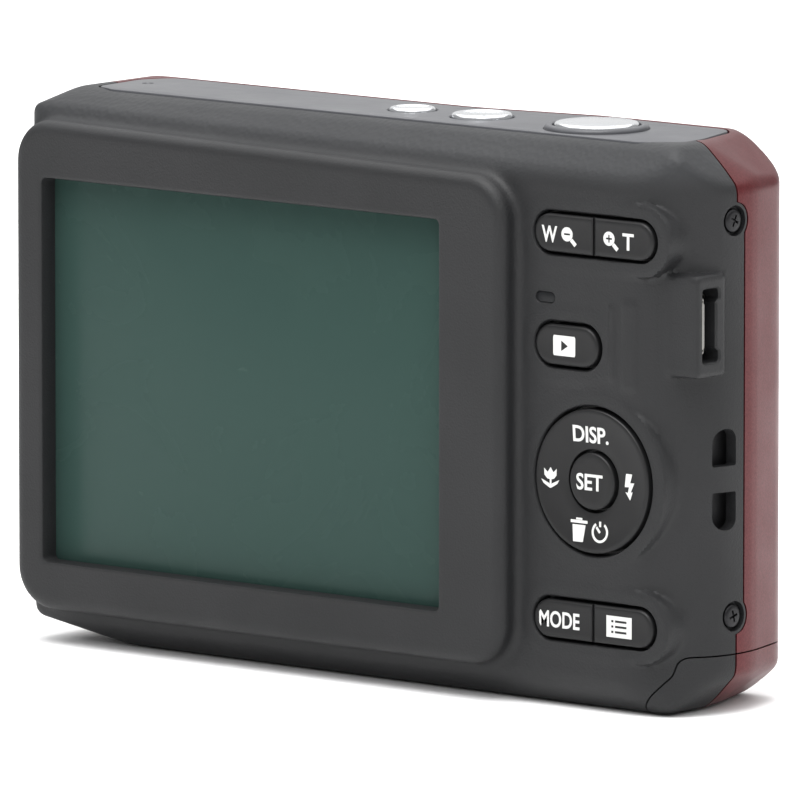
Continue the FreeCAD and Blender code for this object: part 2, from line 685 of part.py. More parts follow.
def make_zoom_gearbox():
    case = box((32.6, 40.4), (14.5, 16.2), (42.5, 53.8))
    return case.common(body_form(WALL + 0.1)).cut(disc(LENS_X, LENS_Z, HOUSING_R + 0.2, (5.0, 20.0)))


# ---- Flash, sound and small front parts -------------------------------------------------------------
def make_flash_window():
    return shell().common(flash_block())


def make_flash_reflector():
    low_x, high_x = FLASH_X[0] + 0.3, FLASH_X[1] - 0.3
    low_z, high_z = FLASH_Z[0] + 0.2, FLASH_Z[1] - 0.2
    outer = box((low_x, high_x), (12.6, 16.5), (low_z, high_z))
    hollow = box((low_x + 0.4, high_x - 0.4), (13.4, 17.0), (low_z + 0.4, high_z - 0.4))
    return outer.cut(hollow)


def make_flash_tube():
    return rod((-0.8, 9.8), 14.7, 52.3, 0.9)


def make_flash_capacitor():
    return rod((13.0, 31.0), 11.6, 52.2, 3.4)


def make_af_lamp():
    return fuse([disc(*AF_CENTRE, AF_R, (15.8, 17.9)), disc(*AF_CENTRE, AF_R + 0.5, (15.0, 15.8))])


def make_microphone():
    return post(MIC_X, TOP_BUTTON_DEPTH, 2.0, (55.8, 57.25))


def make_speaker():
    return fuse([post(17.6, 12.5, 2.7, (1.45, 3.6)), post(17.6, 12.5, 1.4, (3.6, 4.2))])


# ---- Battery bay --------------------------------------------------------------------------------------
def stadium(radius, zs):
    """The outline round both cells, as an upright solid."""
    ends = [post(x, CELL_DEPTH, radius, zs) for x in CELL_X]
    return fuse(ends + [box(CELL_X, (CELL_DEPTH - radius, CELL_DEPTH + radius), zs)])


def make_battery_chamber():
    inner_r = CELL_R + 0.13
    tube = stadium(inner_r + CHAMBER_WALL, (7.2, 55.5))
    bore = stadium(inner_r, (0.0, 54.75))
    middle = (CELL_X[0] + CELL_X[1]) / 2
    ribs = []
    for depth in (CELL_DEPTH - inner_r, CELL_DEPTH + inner_r - 2.0):
        ribs.append(box((middle - 0.6, middle + 0.6), (depth, depth + 2.0), (7.2, 54.75)))
    arm = box((-42.9, -42.35), (9.4, 10.4), (HINGE_Z - 0.6, 8.2))
    ear = box((HINGE_X, -42.35), (9.4, 10.4), (HINGE_Z - 0.6, HINGE_Z + 0.6))
    eye = disc(HINGE_X, HINGE_Z, 0.6, (9.4, 10.4))
    body = fuse([tube.cut(bore)] + ribs + [arm, ear, eye])
    body = body.cut(disc(HINGE_X, HINGE_Z, HINGE_BORE_R, (9.0, 11.0)))
    return body.common(body_form(WALL + 0.02).fuse(box((-45.0, -40.0), (9.0, 11.0), (3.0, 8.0))))


def make_battery_cells():
    """Two AA cells, one with its nub up and one with its nub down."""
    cells = []
    for x, nub_up in zip(CELL_X, (True, False)):
        low = CELL_BASE_Z if nub_up else CELL_BASE_Z + 1.0
        can = post(x, CELL_DEPTH, CELL_R, (low, low + CELL_LENGTH - 1.0))
        nub_z = (low + CELL_LENGTH - 1.0, low + CELL_LENGTH) if nub_up else (low - 1.0, low)
        cells.append(can.fuse(post(x, CELL_DEPTH, 2.7, nub_z)))
    return Part.makeCompound(cells)


def make_battery_contacts():
    plates = [box((x - 3.5, x + 3.5), (CELL_DEPTH - 4, CELL_DEPTH + 4), (54.4, 54.7)) for x in CELL_X]
    return Part.makeCompound(plates)


def hinge_notch():
    """Room inside the door's side wall for the eye that carries the hinge pin."""
    upper = box((HINGE_X - 0.65, -41.0), (9.2, 10.6), (HINGE_Z, 8.0))
    beside = box((HINGE_X, -41.0), (9.2, 10.6), (HINGE_Z - 0.65, 8.0))
    return fuse([upper, beside, disc(HINGE_X, HINGE_Z, 0.65, (9.2, 10.6))])


def latch_cuts():
    """Recess and slot in the door's floor for the sliding latch."""
    gap = 0.2
    knob_x = (LATCH_X[0] - LATCH_TRAVEL - gap, LATCH_X[1] + gap)
    recess = box(knob_x, (LATCH_DEPTH[0] - gap, LATCH_DEPTH[1] + gap), (-1.0, 0.8))
    slot_x = (LATCH_X[0] + 1.5 - LATCH_TRAVEL - gap, LATCH_X[1] - 1.5 + gap)
    slot = box(slot_x, (9.3, 11.7), (-1.0, 3.0))
    return [recess, slot]


def door_shell():
    shape = shell().common(door_region(DOOR_GAP))
    shape = shape.common(box((-60, 60), (-10, 40), (DOOR_LIFT, 20)))
    walls = [box((-39.5, 13.0), (depth, depth + 0.7), (WALL, 2.6)) for depth in (4.2, 15.5)]
    shape = fuse([shape] + walls)
    shape = shape.common(door_region(DOOR_GAP).fuse(box((-40, 14.0), (3.0, 17.0), (1.0, 3.0))))
    pin_bore = disc(HINGE_X, HINGE_Z, HINGE_BORE_R, (7.9, 12.1))
    return cut(shape, [hinge_notch(), pin_bore] + latch_cuts())


def make_battery_door():
    return door_shell().common(box((-60, 60), (-10, SEAM_DEPTH), (-5, 20)))


def make_battery_door_front():
    shape = door_shell().cut(box((-60, 60), (-10, SEAM_DEPTH), (-5, 20)))
    groove = box((-60, 60), (SEAM_DEPTH, SEAM_DEPTH + SEAM_GAP), (-5, 20)).cut(body_form(SEAM_GROOVE))
    return shape.cut(groove)


def make_door_contact():
    """Plate on the door that joins the two cells, with a raised pad under each."""
    xs = (CELL_X[0] - 3.5, CELL_X[1] + 3.5)
    plate = box(xs, (CELL_DEPTH - 3.5, CELL_DEPTH + 3.5), (WALL, WALL + 0.4))
    pads = [post(x, CELL_DEPTH, 2.4, (WALL + 0.4, 3.3)) for x in CELL_X]
    return fuse([plate] + pads)


def make_door_hinge_pin():
    return disc(HINGE_X, HINGE_Z, HINGE_PIN_R, (8.0, 12.0))


def make_door_latch():
    knob = box(LATCH_X, LATCH_DEPTH, (0.25, 0.75))
    ribs = [box((x, x + 0.5), (8.5, 12.5), (0.16, 0.3)) for x in (6.2, 7.3, 8.4)]
    stem = box((LATCH_X[0] + 1.5, LATCH_X[1] - 1.5), (9.5, 11.5), (0.7, 1.6))
    bolt = box((LATCH_X[0], 13.8), (8.8, 12.2), (1.5, 2.1))
    return fuse([knob, stem, bolt] + ribs)


# ---- Fasteners, port and tripod socket -----------------------------------------------------------------
def bottom_screw_cuts():
    cuts = []
    for (x, depth), seat_z in zip(BOTTOM_SCREWS, BOTTOM_SEAT_Z):
        cuts.append(post(x, depth, SCREW_SHANK_R, (-1.0, 6.0)))
        cuts.append(post(x, depth, SCREW_SEAT_R, (-1.0, seat_z)))
    return cuts


def make_side_screws():
    """Cross-head screws through the side wall."""
    screws = []
    long, narrow = SCREW_SLOT
    at = SIDE_SCREW_DEPTH
    for z in SIDE_SCREW_Z:
        head = rod((-45.0, -44.5), at, z, SCREW_HEAD_R)
        shank = rod((-44.5, -42.9), at, z, SCREW_SHANK_R)
        slots = [box((-45.1, -44.75), (at - a, at + a), (z - b, z + b))
                 for a, b in ((long, narrow), (narrow, long))]
        screws.append(cut(head.fuse(shank), slots))
    return Part.makeCompound(screws)


def make_bottom_screws():
    """Cross-head screws whose heads sit against the top of their counterbores."""
    screws = []
    long, narrow = SCREW_SLOT
    for (x, depth), seat_z in zip(BOTTOM_SCREWS, BOTTOM_SEAT_Z):
        base = seat_z - SCREW_HEAD
        head = post(x, depth, SCREW_HEAD_R, (base, seat_z))
        shank = post(x, depth, SCREW_SHANK_R, (seat_z, seat_z + 3.4))
        slots = [box((x - a, x + a), (depth - b, depth + b), (base - 0.1, base + 0.25))
                 for a, b in ((long, narrow), (narrow, long))]
        screws.append(cut(head.fuse(shank), slots))
    return Part.makeCompound(screws)


def make_port_shell():
    depths = (PORT_DEPTH[0] + 0.05, PORT_DEPTH[1] - 0.1)
    zs = (PORT_Z[0] + 0.75, PORT_Z[1] - 0.75)
    outer = box((-44.7, -41.0), depths, zs)
    hollow = box((-46.0, -41.3), (depths[0] + 0.25, depths[1] - 0.25), (zs[0] + 0.25, zs[1] - 0.25))
    return outer.cut(hollow)


def make_port_tongue():
    middle = (PORT_DEPTH[0] + PORT_DEPTH[1]) / 2
    return box((-44.2, -41.3), (middle - 0.75, middle - 0.15), (38.9, 43.2))


def make_tripod_socket():
    barrel = post(TRIPOD_X, TRIPOD_DEPTH, 5.0, (0.02, 6.6))
    xs = (TRIPOD_X - 5.5, TRIPOD_X + 5.5)
    flange = box(xs, (TRIPOD_DEPTH - 4.5, TRIPOD_DEPTH + 5.5), (WALL, WALL + 1.0))
    return fuse([barrel, flange]).cut(post(TRIPOD_X, TRIPOD_DEPTH, TRIPOD_BORE_R, (-1.0, 5.6)))


PIECES = {
    "rear_cover": make_rear_cover,
    "front_cover": make_front_cover,
    "top_plate": make_top_plate,
    "shutter_collar": make_shutter_collar,
    "display_glass": make_display_glass,
    "display_panel": make_display_panel,
    "display_frame": make_display_frame,
    "chassis_plate": make_chassis_plate,
    "main_board": make_main_board,
    "card_socket": make_card_socket,
    "image_sensor": make_image_sensor,
    "key_board": make_key_board,
    "top_board": make_top_board,
    "zoom_rocker": lambda: make_rocker(ZOOM_Z),
    "mode_rocker": lambda: make_rocker(MODE_Z),
    "playback_button": make_playback_button,
    "four_way_pad": make_four_way_pad,
    "pad_pivot_ring": make_pad_pivot,
    "set_button": make_set_button,
    "status_light": make_status_light,
    "shutter_button": lambda: top_button(SHUTTER_X, SHUTTER_R, 60.2, -0.2),
    "record_button": lambda: top_button(RECORD_X, RECORD_R, 59.85, 0.3),
    "power_button": lambda: top_button(POWER_X, POWER_R, 59.75, 0.2),
    "lens_ring": make_lens_ring,
    "lens_housing": make_lens_housing,
    "cam_ring": make_cam_ring,
    "outer_barrel": make_outer_barrel,
    "inner_barrel": make_inner_barrel,
    "upper_blade": lambda: make_blade(1),
    "lower_blade": lambda: make_blade(-1),
    "front_lens": make_front_lens,
    "rear_lens": make_rear_lens,
    "zoom_motor": make_zoom_motor,
    "zoom_gearbox": make_zoom_gearbox,
    "flash_window": make_flash_window,
    "flash_reflector": make_flash_reflector,
    "flash_tube": make_flash_tube,
    "flash_capacitor": make_flash_capacitor,
    "af_lamp": make_af_lamp,
    "microphone": make_microphone,
    "speaker": make_speaker,
    "battery_chamber": make_battery_chamber,
    "battery_cells": make_battery_cells,
    "battery_contacts": make_battery_contacts,
    "battery_door": make_battery_door,
    "battery_door_front": make_battery_door_front,
    "door_contact": make_door_contact,
    "door_hinge_pin": make_door_hinge_pin,
    "door_latch": make_door_latch,
    "side_screws": make_side_screws,
    "bottom_screws": make_bottom_screws,
    "port_shell": make_port_shell,
    "port_tongue": make_port_tongue,
    "tripod_socket": make_tripod_socket,
}

for name, make in PIECES.items():
    piece = make()
    piece.exportStep(f"parts/{name}.step")
    limits = piece.BoundBox
    print(f"{name:20s} solids {len(piece.Solids)} valid {piece.isValid()} volume {piece.Volume:9.2f}"
          f" x {limits.XMin:7.2f} {limits.XMax:7.2f} y {limits.YMin:7.2f} {limits.YMax:7.2f}"
          f" z {limits.ZMin:6.2f} {limits.ZMax:6.2f}")
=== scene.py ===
"""The looks of a compact digital camera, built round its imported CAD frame.

Metres, +Z up. The lens looks along -Y and the display along +Y. Inside the mesh makers lengths are
millimetres, as in the CAD, and places along Y are depths: how far forward of the display glass.
"""
import math

import bmesh
import bpy
import numpy as np
from mathutils import Matrix, Vector


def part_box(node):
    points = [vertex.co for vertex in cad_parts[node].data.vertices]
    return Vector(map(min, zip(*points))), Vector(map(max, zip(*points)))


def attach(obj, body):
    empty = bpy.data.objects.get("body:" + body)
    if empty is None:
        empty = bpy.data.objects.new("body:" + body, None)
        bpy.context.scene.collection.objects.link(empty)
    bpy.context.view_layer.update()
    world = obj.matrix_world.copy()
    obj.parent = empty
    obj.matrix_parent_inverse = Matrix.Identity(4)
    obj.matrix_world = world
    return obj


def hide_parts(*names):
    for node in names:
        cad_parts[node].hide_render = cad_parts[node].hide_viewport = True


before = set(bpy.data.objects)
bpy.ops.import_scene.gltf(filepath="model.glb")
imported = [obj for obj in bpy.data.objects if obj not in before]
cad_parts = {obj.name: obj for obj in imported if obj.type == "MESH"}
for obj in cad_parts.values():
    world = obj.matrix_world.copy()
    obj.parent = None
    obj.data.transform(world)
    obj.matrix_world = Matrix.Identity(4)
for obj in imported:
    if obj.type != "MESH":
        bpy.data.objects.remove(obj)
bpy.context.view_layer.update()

bl_info = {
    "name": "Compact Camera Looks",
    "version": (1, 0, 0),
    "blender": (4, 5, 0),
    "location": "3D View > Sidebar > Camera",
    "description": "Builds the visual pieces of a compact digital camera over its CAD frame",
    "category": "Add Mesh",
}

MM = 0.001

# Outer form, as in the CAD part: corner points of each outline, then its corner radii. Lengths are in
# millimetres. An outline holds x and z, but x and y for the plan, the top plate and the latch's way. A
# depth is counted forward from the display glass.
GLASS_Y = 11.4
OUTLINE = [(-45.2, 4.4), (-40.9, 0.0), (33.5, 0.0), (45.2, 2.8),
           (45.2, 57.2), (41.5, 59.5), (-40.9, 59.5), (-45.2, 54.8)]
OUTLINE_R = [2.0, 4.0, 12.0, 2.5, 2.0, 3.0, 1.6, 1.6]
# Flats on the front corners by the grip: x, depth and z of a point on each, then the way it faces
CORNER_CUTS = (((-39.7, 10.3, 59.5), (-0.572, 0.209, 0.793)),
               ((-39.7, 10.3, -0.6), (-0.572, 0.209, -0.793)))
CORNER_CUT_R = 0.6
EDGE_R = (0.6, 1.6)                 # rounding of the outer edge behind the seam and at the front
EDGE_R_DEPTH = (9.0, 17.0)          # where it grows from one to the other
PLAN = [(45.2, 11.1), (-45.2, 11.1), (-45.2, 0.0), (-42.3, -9.4),
        (-18.5, -9.4), (-3.5, -6.6), (43.2, -6.6), (45.2, 1.2)]
PLAN_R = [1.8, 9.5, 8.0, 5.0, 18.0, 18.0, 5.0, 12.0]
BEZEL = [(-22.6, 3.8), (45.0, 3.8), (45.0, 56.4), (-22.6, 55.1)]
BEZEL_R = [4.8, 4.5, 4.5, 4.8]
BEZEL_EDGE_R = 1.25
BEZEL_ROOT_DEPTH = 1.4
TOP_PLATE = [(39.3, 6.2), (36.5, 7.3), (-35.6, 7.3), (-39.3, 4.4), (-39.1, 1.0), (-36.6, -7.0),
             (-19.0, -7.3), (-4.0, -4.6), (38.0, -4.6), (39.9, -1.0)]
TOP_PLATE_R = [1.0, 2.0, 1.5, 1.5, 6.0, 2.5, 18.0, 18.0, 2.5, 3.0]
DOOR_END = [(-47.0, -1.0), (-37.6, -1.0), (-38.4, 0.9), (-41.6, 4.4), (-42.2, 6.4), (-47.0, 6.4)]
DOOR_END_R = [0.2, 0.2, 1.0, 1.5, 1.2, 0.2]
PANEL_DEPTH = 0.3
BEZEL_DEPTH = -2.2
HALF_WIDTH = 45.2
HEIGHT = 59.5
BEVEL_TOP_DEPTH = 3.7
BEVEL_Z = (57.8, 55.3)              # where the rear top bevel starts, at the display's end and the grip's
FOOT_BEVEL = 2.6
FOOT_R = 0.8
WALL = 1.4
FIELD_LOW = (-46.4, -10.6, -1.2)    # corners of the block in which the soft form is worked out
FIELD_HIGH = (46.4, 14.8, 60.8)
INNER_CELL = 0.9                    # coarser mesh and crease of the wall's inner face
INNER_CREASE = 0.8

# Openings and raised areas of the rear cover
DISPLAY = (-13.9, 41.0, 9.0, 50.2)  # x from and to, z from and to
ROCKER = (15.9, 4.0)                # width and height of the zoom and mode rockers
ROCKER_X = -33.0
ZOOM_Z = 49.75
MODE_Z = 9.35
PLAY = (-29.4, 38.1, 8.4, 4.25)     # x, z, width, height
LIGHT = (-26.3, 42.9, 2.55, 1.15)   # x, z, width, height
PAD = (-32.8, 24.2, 7.55)           # x, z, radius
SET_R = 3.0
KEY_DISH = 0.05                     # how far the middle of a key's face dips
# Radius and depth along the tilting ring's dish
RING_DISH = [(4.6, 0.3), (5.6, 0.24), (6.5, 0.13), (PAD[2] - 0.55, 0.03)]
KEY_GAP = 0.3
KEY_PAD = 1.9                       # how far the raised pad reaches beyond its key
PAD_SET_IN = 0.06                   # how far the pads' face is set in from the panel's
PAD_EDGE_R = 0.35
PAD_FILLET = 0.32
PAD_Z = (3.0, 54.6)
PAD_ROOT_DEPTH = 3.6
BOSS = (1.95, 6.8, 35.7, 46.4)      # depths and heights of the block round the port
BOSS_X = -40.4
BOSS_CORNER_R = 0.55
BOSS_EDGE_R = 0.5
BOSS_FILLET = 0.32
RIDGES = ((-38.4, -36.6, 34.0, 43.4), (-35.65, -34.9, 34.8, 42.8))    # faint raised bands by the port
RIDGE_RISE = 0.22
RIDGE_FADE = (-0.15, 0.25)          # how the bands swell across their edges
RIDGE_FADE_DEPTH = (4.0, 6.0)       # where they fade out towards the front
RIDGE_CORNER_R = 0.4
PORT = (3.0, 5.7, 37.25, 44.95)     # depths and heights of the mouth
PORT_WAIST = 0.55                   # how far the port's front edge steps back between its notches
STRAP_DEPTH = (5.7, 8.7)
STRAP_Z = ((19.4, 23.4), (26.1, 30.0))

# Seam, screws and the battery door
SEAM_DEPTH = 8.7
SEAM_JOG_DEPTH = 9.9
SEAM_SIDE = (5.0, 56.0)             # heights between which the seam follows its stepped side line
SIDE_SCREWS = ((8.5, 10.3), (8.5, 51.6))    # depth and z
SCREW_CLEAR_R = 1.9
BOTTOM_SCREWS = ((40.0, 12.5, 1.3), (17.6, 5.6, 0.3))    # x, depth and the height of the head's seat
DOOR_GAP = 0.16
DOOR_FLOOR = (-40.0, 14.5, -1.0, 1.9)
DOOR_FLOOR_DEPTH = (3.4, 17.0)
DOOR_RIB = (-39.5, 13.0, 1.2, 2.6)
DOOR_RIB_DEPTHS = ((4.2, 4.9), (15.5, 16.2))
DOOR_LIFT = 0.15                    # how far the door's underside is set above the ground
LATCH_WELL = (2.8, 10.2, -2.1, 3.9)
LATCH_SLOT = (4.3, 8.7, -0.3, 2.1)
LATCH_WELL_TOP = 0.8
HINGE_NOTCH = [(-44.95, 4.8), (-44.76, 4.34), (-44.3, 4.15), (-41.0, 4.15), (-41.0, 8.0), (-44.95, 8.0)]
HINGE_NOTCH_DEPTH = (9.2, 10.6)

# Front, underside and top
LENS = (20.0, 29.0)
LENS_HOLE_R = 17.65
FLASH = (-1.6, 10.6, 49.3, 55.3)
FOCUS_LAMP = (-6.5, 52.3, 1.65)
TRIPOD = (26.0, 10.0, 5.05)         # x, depth, radius
TOP_BUTTON_DEPTH = 10.3
SHUTTER_X = -25.0
MICROPHONE = (36.8, 0.55)           # x, radius
# Each top button: x, radius, height, dish, its hole's radius, the CAD piece and the body it rides on
TOP_BUTTONS = ((SHUTTER_X, 4.45, 60.2, -0.19, 5.5, "shutter_button", "shutter_key"),
               (-9.5, 3.2, 59.95, 0.3, 3.4, "record_button", "record_key"),
               (0.0, 2.45, 59.85, 0.22, 2.65, "power_button", "power_key"))


# ---- Settings shown in the sidebar ---------------------------------------------------------------
def srgb(code):
    """A colour written as sRGB hex, as the linear values a shader wants."""
    parts = [int(code[i:i + 2], 16) / 255 for i in (1, 3, 5)]
    return [c / 12.92 if c <= 0.04045 else ((c + 0.055) / 1.055) ** 2.4 for c in parts] + [1.0]


def length_setting(name, size, description, low=0.0, high=5.0):
    """A length shown in the sidebar, given in millimetres."""
    return bpy.props.FloatProperty(name=name, description=description, default=size * MM, min=low * MM,
                                   max=high * MM, precision=6, unit="LENGTH", subtype="DISTANCE")


def colour_setting(name, code, description):
    return bpy.props.FloatVectorProperty(name=name, description=description, default=srgb(code),
                                         size=4, min=0.0, max=1.0, subtype="COLOR")


class CoverSettings(bpy.types.PropertyGroup):
    cell: length_setting("Cell", 0.42, "Spacing of the mesh that carries the body's soft forms", 0.2, 2.0)
    bezel_valley: length_setting("Bezel valley", 1.1, "Width of the soft valley round the display frame")
    crease: length_setting("Bevel softness", 0.9, "Radius along the rear top bevel")
    seam: length_setting("Seam", 0.24, "Open width of the parting line")


class KeySettings(bpy.types.PropertyGroup):
    edge: length_setting("Edge", 0.32, "Rounding along the rim of every key")
    print_height: length_setting("Print height", 0.03, "How far the printed marks stand off the keys")


class FinishSettings(bpy.types.PropertyGroup):
    body: colour_setting("Body", "#1c1c1e", "Black of the rear cover")
    body_low: colour_setting("Body, darker", "#191a1b", "Second shade, which mottles the black")
    # Painted highlight: a lighter black laid over the rear top bevel, for the light that falls on it from
    # above
    crown: colour_setting("Crown", "#2b2c2e", "The grained bevel over the display")
    cover: colour_setting("Front cover", "#4c1518", "Red of the front cover")
    flake: colour_setting("Flakes", "#5a2225", "Metal flakes in the red lacquer")
    display: colour_setting("Display", "#30433f", "The switched-off display")
    display_wiped: colour_setting("Display, wiped", "#314540", "Second shade, where it has been wiped")
    plate: colour_setting("Top plate", "#4a4b4f", "Satin plate that holds the top buttons")
    key: colour_setting("Keys", "#161617", "The keys of the rear cover")
    chrome: colour_setting("Buttons", "#e4e6e9", "Plating of the top buttons")
    print: colour_setting("Prints", "#dcdcda", "Ink of the marks on the keys")


class StageSettings(bpy.types.PropertyGroup):
    lens: bpy.props.FloatProperty(
        name="Focal length", description="Camera focal length in millimetres",
        default=688.5, min=10.0, unit="CAMERA")
    target: bpy.props.FloatVectorProperty(
        name="Target", description="Point the camera looks at",
        default=(-0.006924, 0.0114, 0.030418), size=3, unit="LENGTH", subtype="TRANSLATION")
    eye: bpy.props.FloatVectorProperty(
        name="Eye", description="Where the camera stands",
        default=(-1.025324, 1.22548, 0.251858), size=3, unit="LENGTH", subtype="TRANSLATION")
    world: bpy.props.FloatProperty(
        name="World light", description="Strength of the even white surround", default=0.4, min=0.0)


# ---- Plane outlines ------------------------------------------------------------------------------
def rounded(points, radii, turn=math.radians(7)):
    """A closed outline with each corner replaced by an arc. Points run anticlockwise."""
    out = []
    count = len(points)
    for i in range(count):
        here = Vector(points[i])
        back = (here - Vector(points[i - 1])).normalized()
        on = (Vector(points[(i + 1) % count]) - here).normalized()
        bend = math.acos(max(-1.0, min(1.0, back.dot(on))))
        reach = radii[i] * math.tan(bend / 2)
        start = here - back * reach
        side = 1 if back.x * on.y - back.y * on.x > 0 else -1
        centre = start + Vector((-back.y, back.x)) * radii[i] * side
        arm = start - centre
        steps = max(1, round(bend / turn))
        for k in range(steps + 1):
            a = side * bend * k / steps
            out.append((centre.x + arm.x * math.cos(a) - arm.y * math.sin(a),
                        centre.y + arm.x * math.sin(a) + arm.y * math.cos(a)))
    return out


def grown_outline(points, by):
    """Moves a finely divided outline outwards along its own normals."""
    p = np.array(points)
    along = np.roll(p, -1, 0) - np.roll(p, 1, 0)
    along /= np.linalg.norm(along, axis=1)[:, None]
    return p + by * np.column_stack([along[:, 1], -along[:, 0]])


def circle(x, z, r, count=48):
    turns = [2 * math.pi * k / count for k in range(count)]
    return [(x + r * math.cos(t), z + r * math.sin(t)) for t in turns]


def pill(x, z, width, height, count=14):
    r = height / 2
    half = width / 2 - r
    right = [math.pi * (k / count - 0.5) for k in range(count + 1)]
    ends = [(x + half + r * math.cos(t), z + r * math.sin(t)) for t in right]
    return ends + [(x - half - r * math.cos(t), z - r * math.sin(t)) for t in right]


def block(x0, x1, z0, z1, r=0.0):
    corners = [(x0, z0), (x1, z0), (x1, z1), (x0, z1)]
    return rounded(corners, [r] * 4, math.radians(15)) if r else corners


# ---- Meshes --------------------------------------------------------------------------------------
def make_object(name, verts, faces, scale=MM):
    mesh = bpy.data.meshes.new(name)
    mesh.from_pydata((np.asarray(verts, float) * scale).tolist(), [], [list(f) for f in faces])
    mesh.validate()
    obj = bpy.data.objects.new(name, mesh)
    bpy.context.scene.collection.objects.link(obj)
    return obj


def place(axis, outline, at):
    """Outline points as 3-D points. The axis is the one the outline is swept along."""
    if axis == "y":
        return [(a, GLASS_Y - at, b) for a, b in outline]
    if axis == "z":
        return [(a, b, at) for a, b in outline]
    return [(at, GLASS_Y - a, b) for a, b in outline]


def loft(axis, rings):
    """Closed solid through rings of equal count, each (outline, place along the axis)."""
    count = len(rings[0][0])
    verts = [p for outline, at in rings for p in place(axis, outline, at)]
    faces = []
    for k in range(len(rings) - 1):
        for i in range(count):
            j = (i + 1) % count
            faces.append((k * count + i, k * count + j, (k + 1) * count + j, (k + 1) * count + i))
    faces.append(tuple(range(count))[::-1])
    last = (len(rings) - 1) * count
    faces.append(tuple(last + i for i in range(count)))
    return verts, faces


def joined(solids):
    verts, faces = [], []
    for v, f in solids:
        base = len(verts)
        verts += list(v)
        faces += [tuple(base + i for i in face) for face in f]
    return verts, faces


def outward(obj):
    """Turns every closed part of a small mesh to face outwards."""
    work = bmesh.new()
    work.from_mesh(obj.data)
    bmesh.ops.recalc_face_normals(work, faces=work.faces)
    work.to_mesh(obj.data)
    work.free()
    return obj


def cutter(name, solids):
    return outward(make_object(name, *joined(solids)))


def finished_mesh(obj):
    """Turns what the modifiers show into the object's own mesh."""
    seen = obj.evaluated_get(bpy.context.evaluated_depsgraph_get())
    mesh = bpy.data.meshes.new_from_object(seen)
    obj.modifiers.clear()
    old = obj.data
    obj.data = mesh
    bpy.data.meshes.remove(old)
    return obj


def combine(obj, other, how, keep=False):
    """Boolean of two closed meshes."""
    step = obj.modifiers.new("combine", "BOOLEAN")
    step.operation = how
    step.solver = "MANIFOLD"
    step.object = other
    bpy.context.view_layer.update()
    finished_mesh(obj)
    if len(obj.data.polygons) == 0:
        raise RuntimeError(f"{how} of {obj.name} with {other.name} left nothing")
    if not keep:
        bpy.data.objects.remove(other)
    return obj


def duplicate(obj, name):
    twin = obj.copy()
    twin.data = obj.data.copy()
    twin.name = name
    bpy.context.scene.collection.objects.link(twin)
    return twin


def shade(obj, angle=32):
    mesh = obj.data
    mesh.polygons.foreach_set("use_smooth", [True] * len(mesh.polygons))
    mesh.set_sharp_from_angle(angle=math.radians(angle))
    return obj


def dress(obj, material):
    obj.data.materials.clear()
    obj.data.materials.append(material)
    index = np.zeros(len(obj.data.polygons), np.int32)
    obj.data.polygons.foreach_set("material_index", index)
    return obj


def settle(obj, name, body, material, stands_for=()):
    """Names a finished piece, gives it its finish and hands it to its body."""
    obj.name = name
    dress(obj, material)
    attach(obj, body)
    if stands_for:
        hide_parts(*stands_for)
    return obj


def softened(node, width, segments=2, angle=28):
    """A merged copy of a CAD node with its crisp edges rounded off by width, in millimetres."""
    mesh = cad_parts[node].data.copy()
    work = bmesh.new()
    work.from_mesh(mesh)
    bmesh.ops.remove_doubles(work, verts=work.verts, dist=2e-6)
    bmesh.ops.dissolve_limit(work, angle_limit=math.radians(0.6), verts=work.verts, edges=work.edges)
    limit = math.radians(angle)
    crisp = [e for e in work.edges if len(e.link_faces) == 2 and e.calc_face_angle() > limit]
    bmesh.ops.bevel(work, geom=crisp, offset=width * MM, offset_type="OFFSET", segments=segments,
                    profile=0.5, affect="EDGES", clamp_overlap=True)
    work.to_mesh(mesh)
    work.free()
    mesh.materials.clear()
    obj = bpy.data.objects.new(node + "_soft", mesh)
    bpy.context.scene.collection.objects.link(obj)
    return shade(obj, 40)


# ---- The body's soft form as a distance field ----------------------------------------------------
def outline_field(points, step=0.2, margin=4.0):
    """Signed distance to a closed outline, negative inside, read from a grid."""
    p = np.array(points)
    low, high = p.min(0) - margin, p.max(0) + margin
    us, vs = np.arange(low[0], high[0], step), np.arange(low[1], high[1], step)
    gu, gv = np.meshgrid(us, vs, indexing="ij")
    best = np.full(gu.shape, 1e9)
    inside = np.zeros(gu.shape, bool)
    for (au, av), (bu, bv) in zip(p, np.roll(p, -1, 0)):
        du, dv = bu - au, bv - av
        if du * du + dv * dv < 1e-12:
            continue
        t = np.clip(((gu - au) * du + (gv - av) * dv) / (du * du + dv * dv), 0, 1)
        best = np.minimum(best, (gu - au - t * du) ** 2 + (gv - av - t * dv) ** 2)
        if dv:
            inside ^= ((av > gv) != (bv > gv)) & (gu < au + (gv - av) * du / dv)
    field = np.where(inside, -1.0, 1.0) * np.sqrt(best)

    def sample(u, v):
        fu = np.clip((u - low[0]) / step, 0, len(us) - 1.001)
        fv = np.clip((v - low[1]) / step, 0, len(vs) - 1.001)
        iu, iv = fu.astype(int), fv.astype(int)
        fu, fv = fu - iu, fv - iv
        return ((field[iu, iv] * (1 - fu) + field[iu + 1, iv] * fu) * (1 - fv)
                + (field[iu, iv + 1] * (1 - fu) + field[iu + 1, iv + 1] * fu) * fv)
    return sample


def round_cut(a, b, r):
    """Both a and b, with the edge between them rounded by r."""
    return np.minimum(-r, np.maximum(a, b)) + np.hypot(np.maximum(a + r, 0), np.maximum(b + r, 0))


def soft_join(a, b, k):
    """Either a or b, with a fillet about k wide in the valley."""
    h = np.maximum(k - np.abs(a - b), 0) / k
    return np.minimum(a, b) - h * h * k / 4


def ramp(x, start, end):
    t = np.clip((x - start) / (end - start), 0, 1)
    return t * t * (3 - 2 * t)


def pill_distance(x, z, cx, cz, width, height):
    r = height / 2
    across = np.maximum(np.abs(x - cx) - (width / 2 - r), 0)
    return np.hypot(across, z - cz) - r


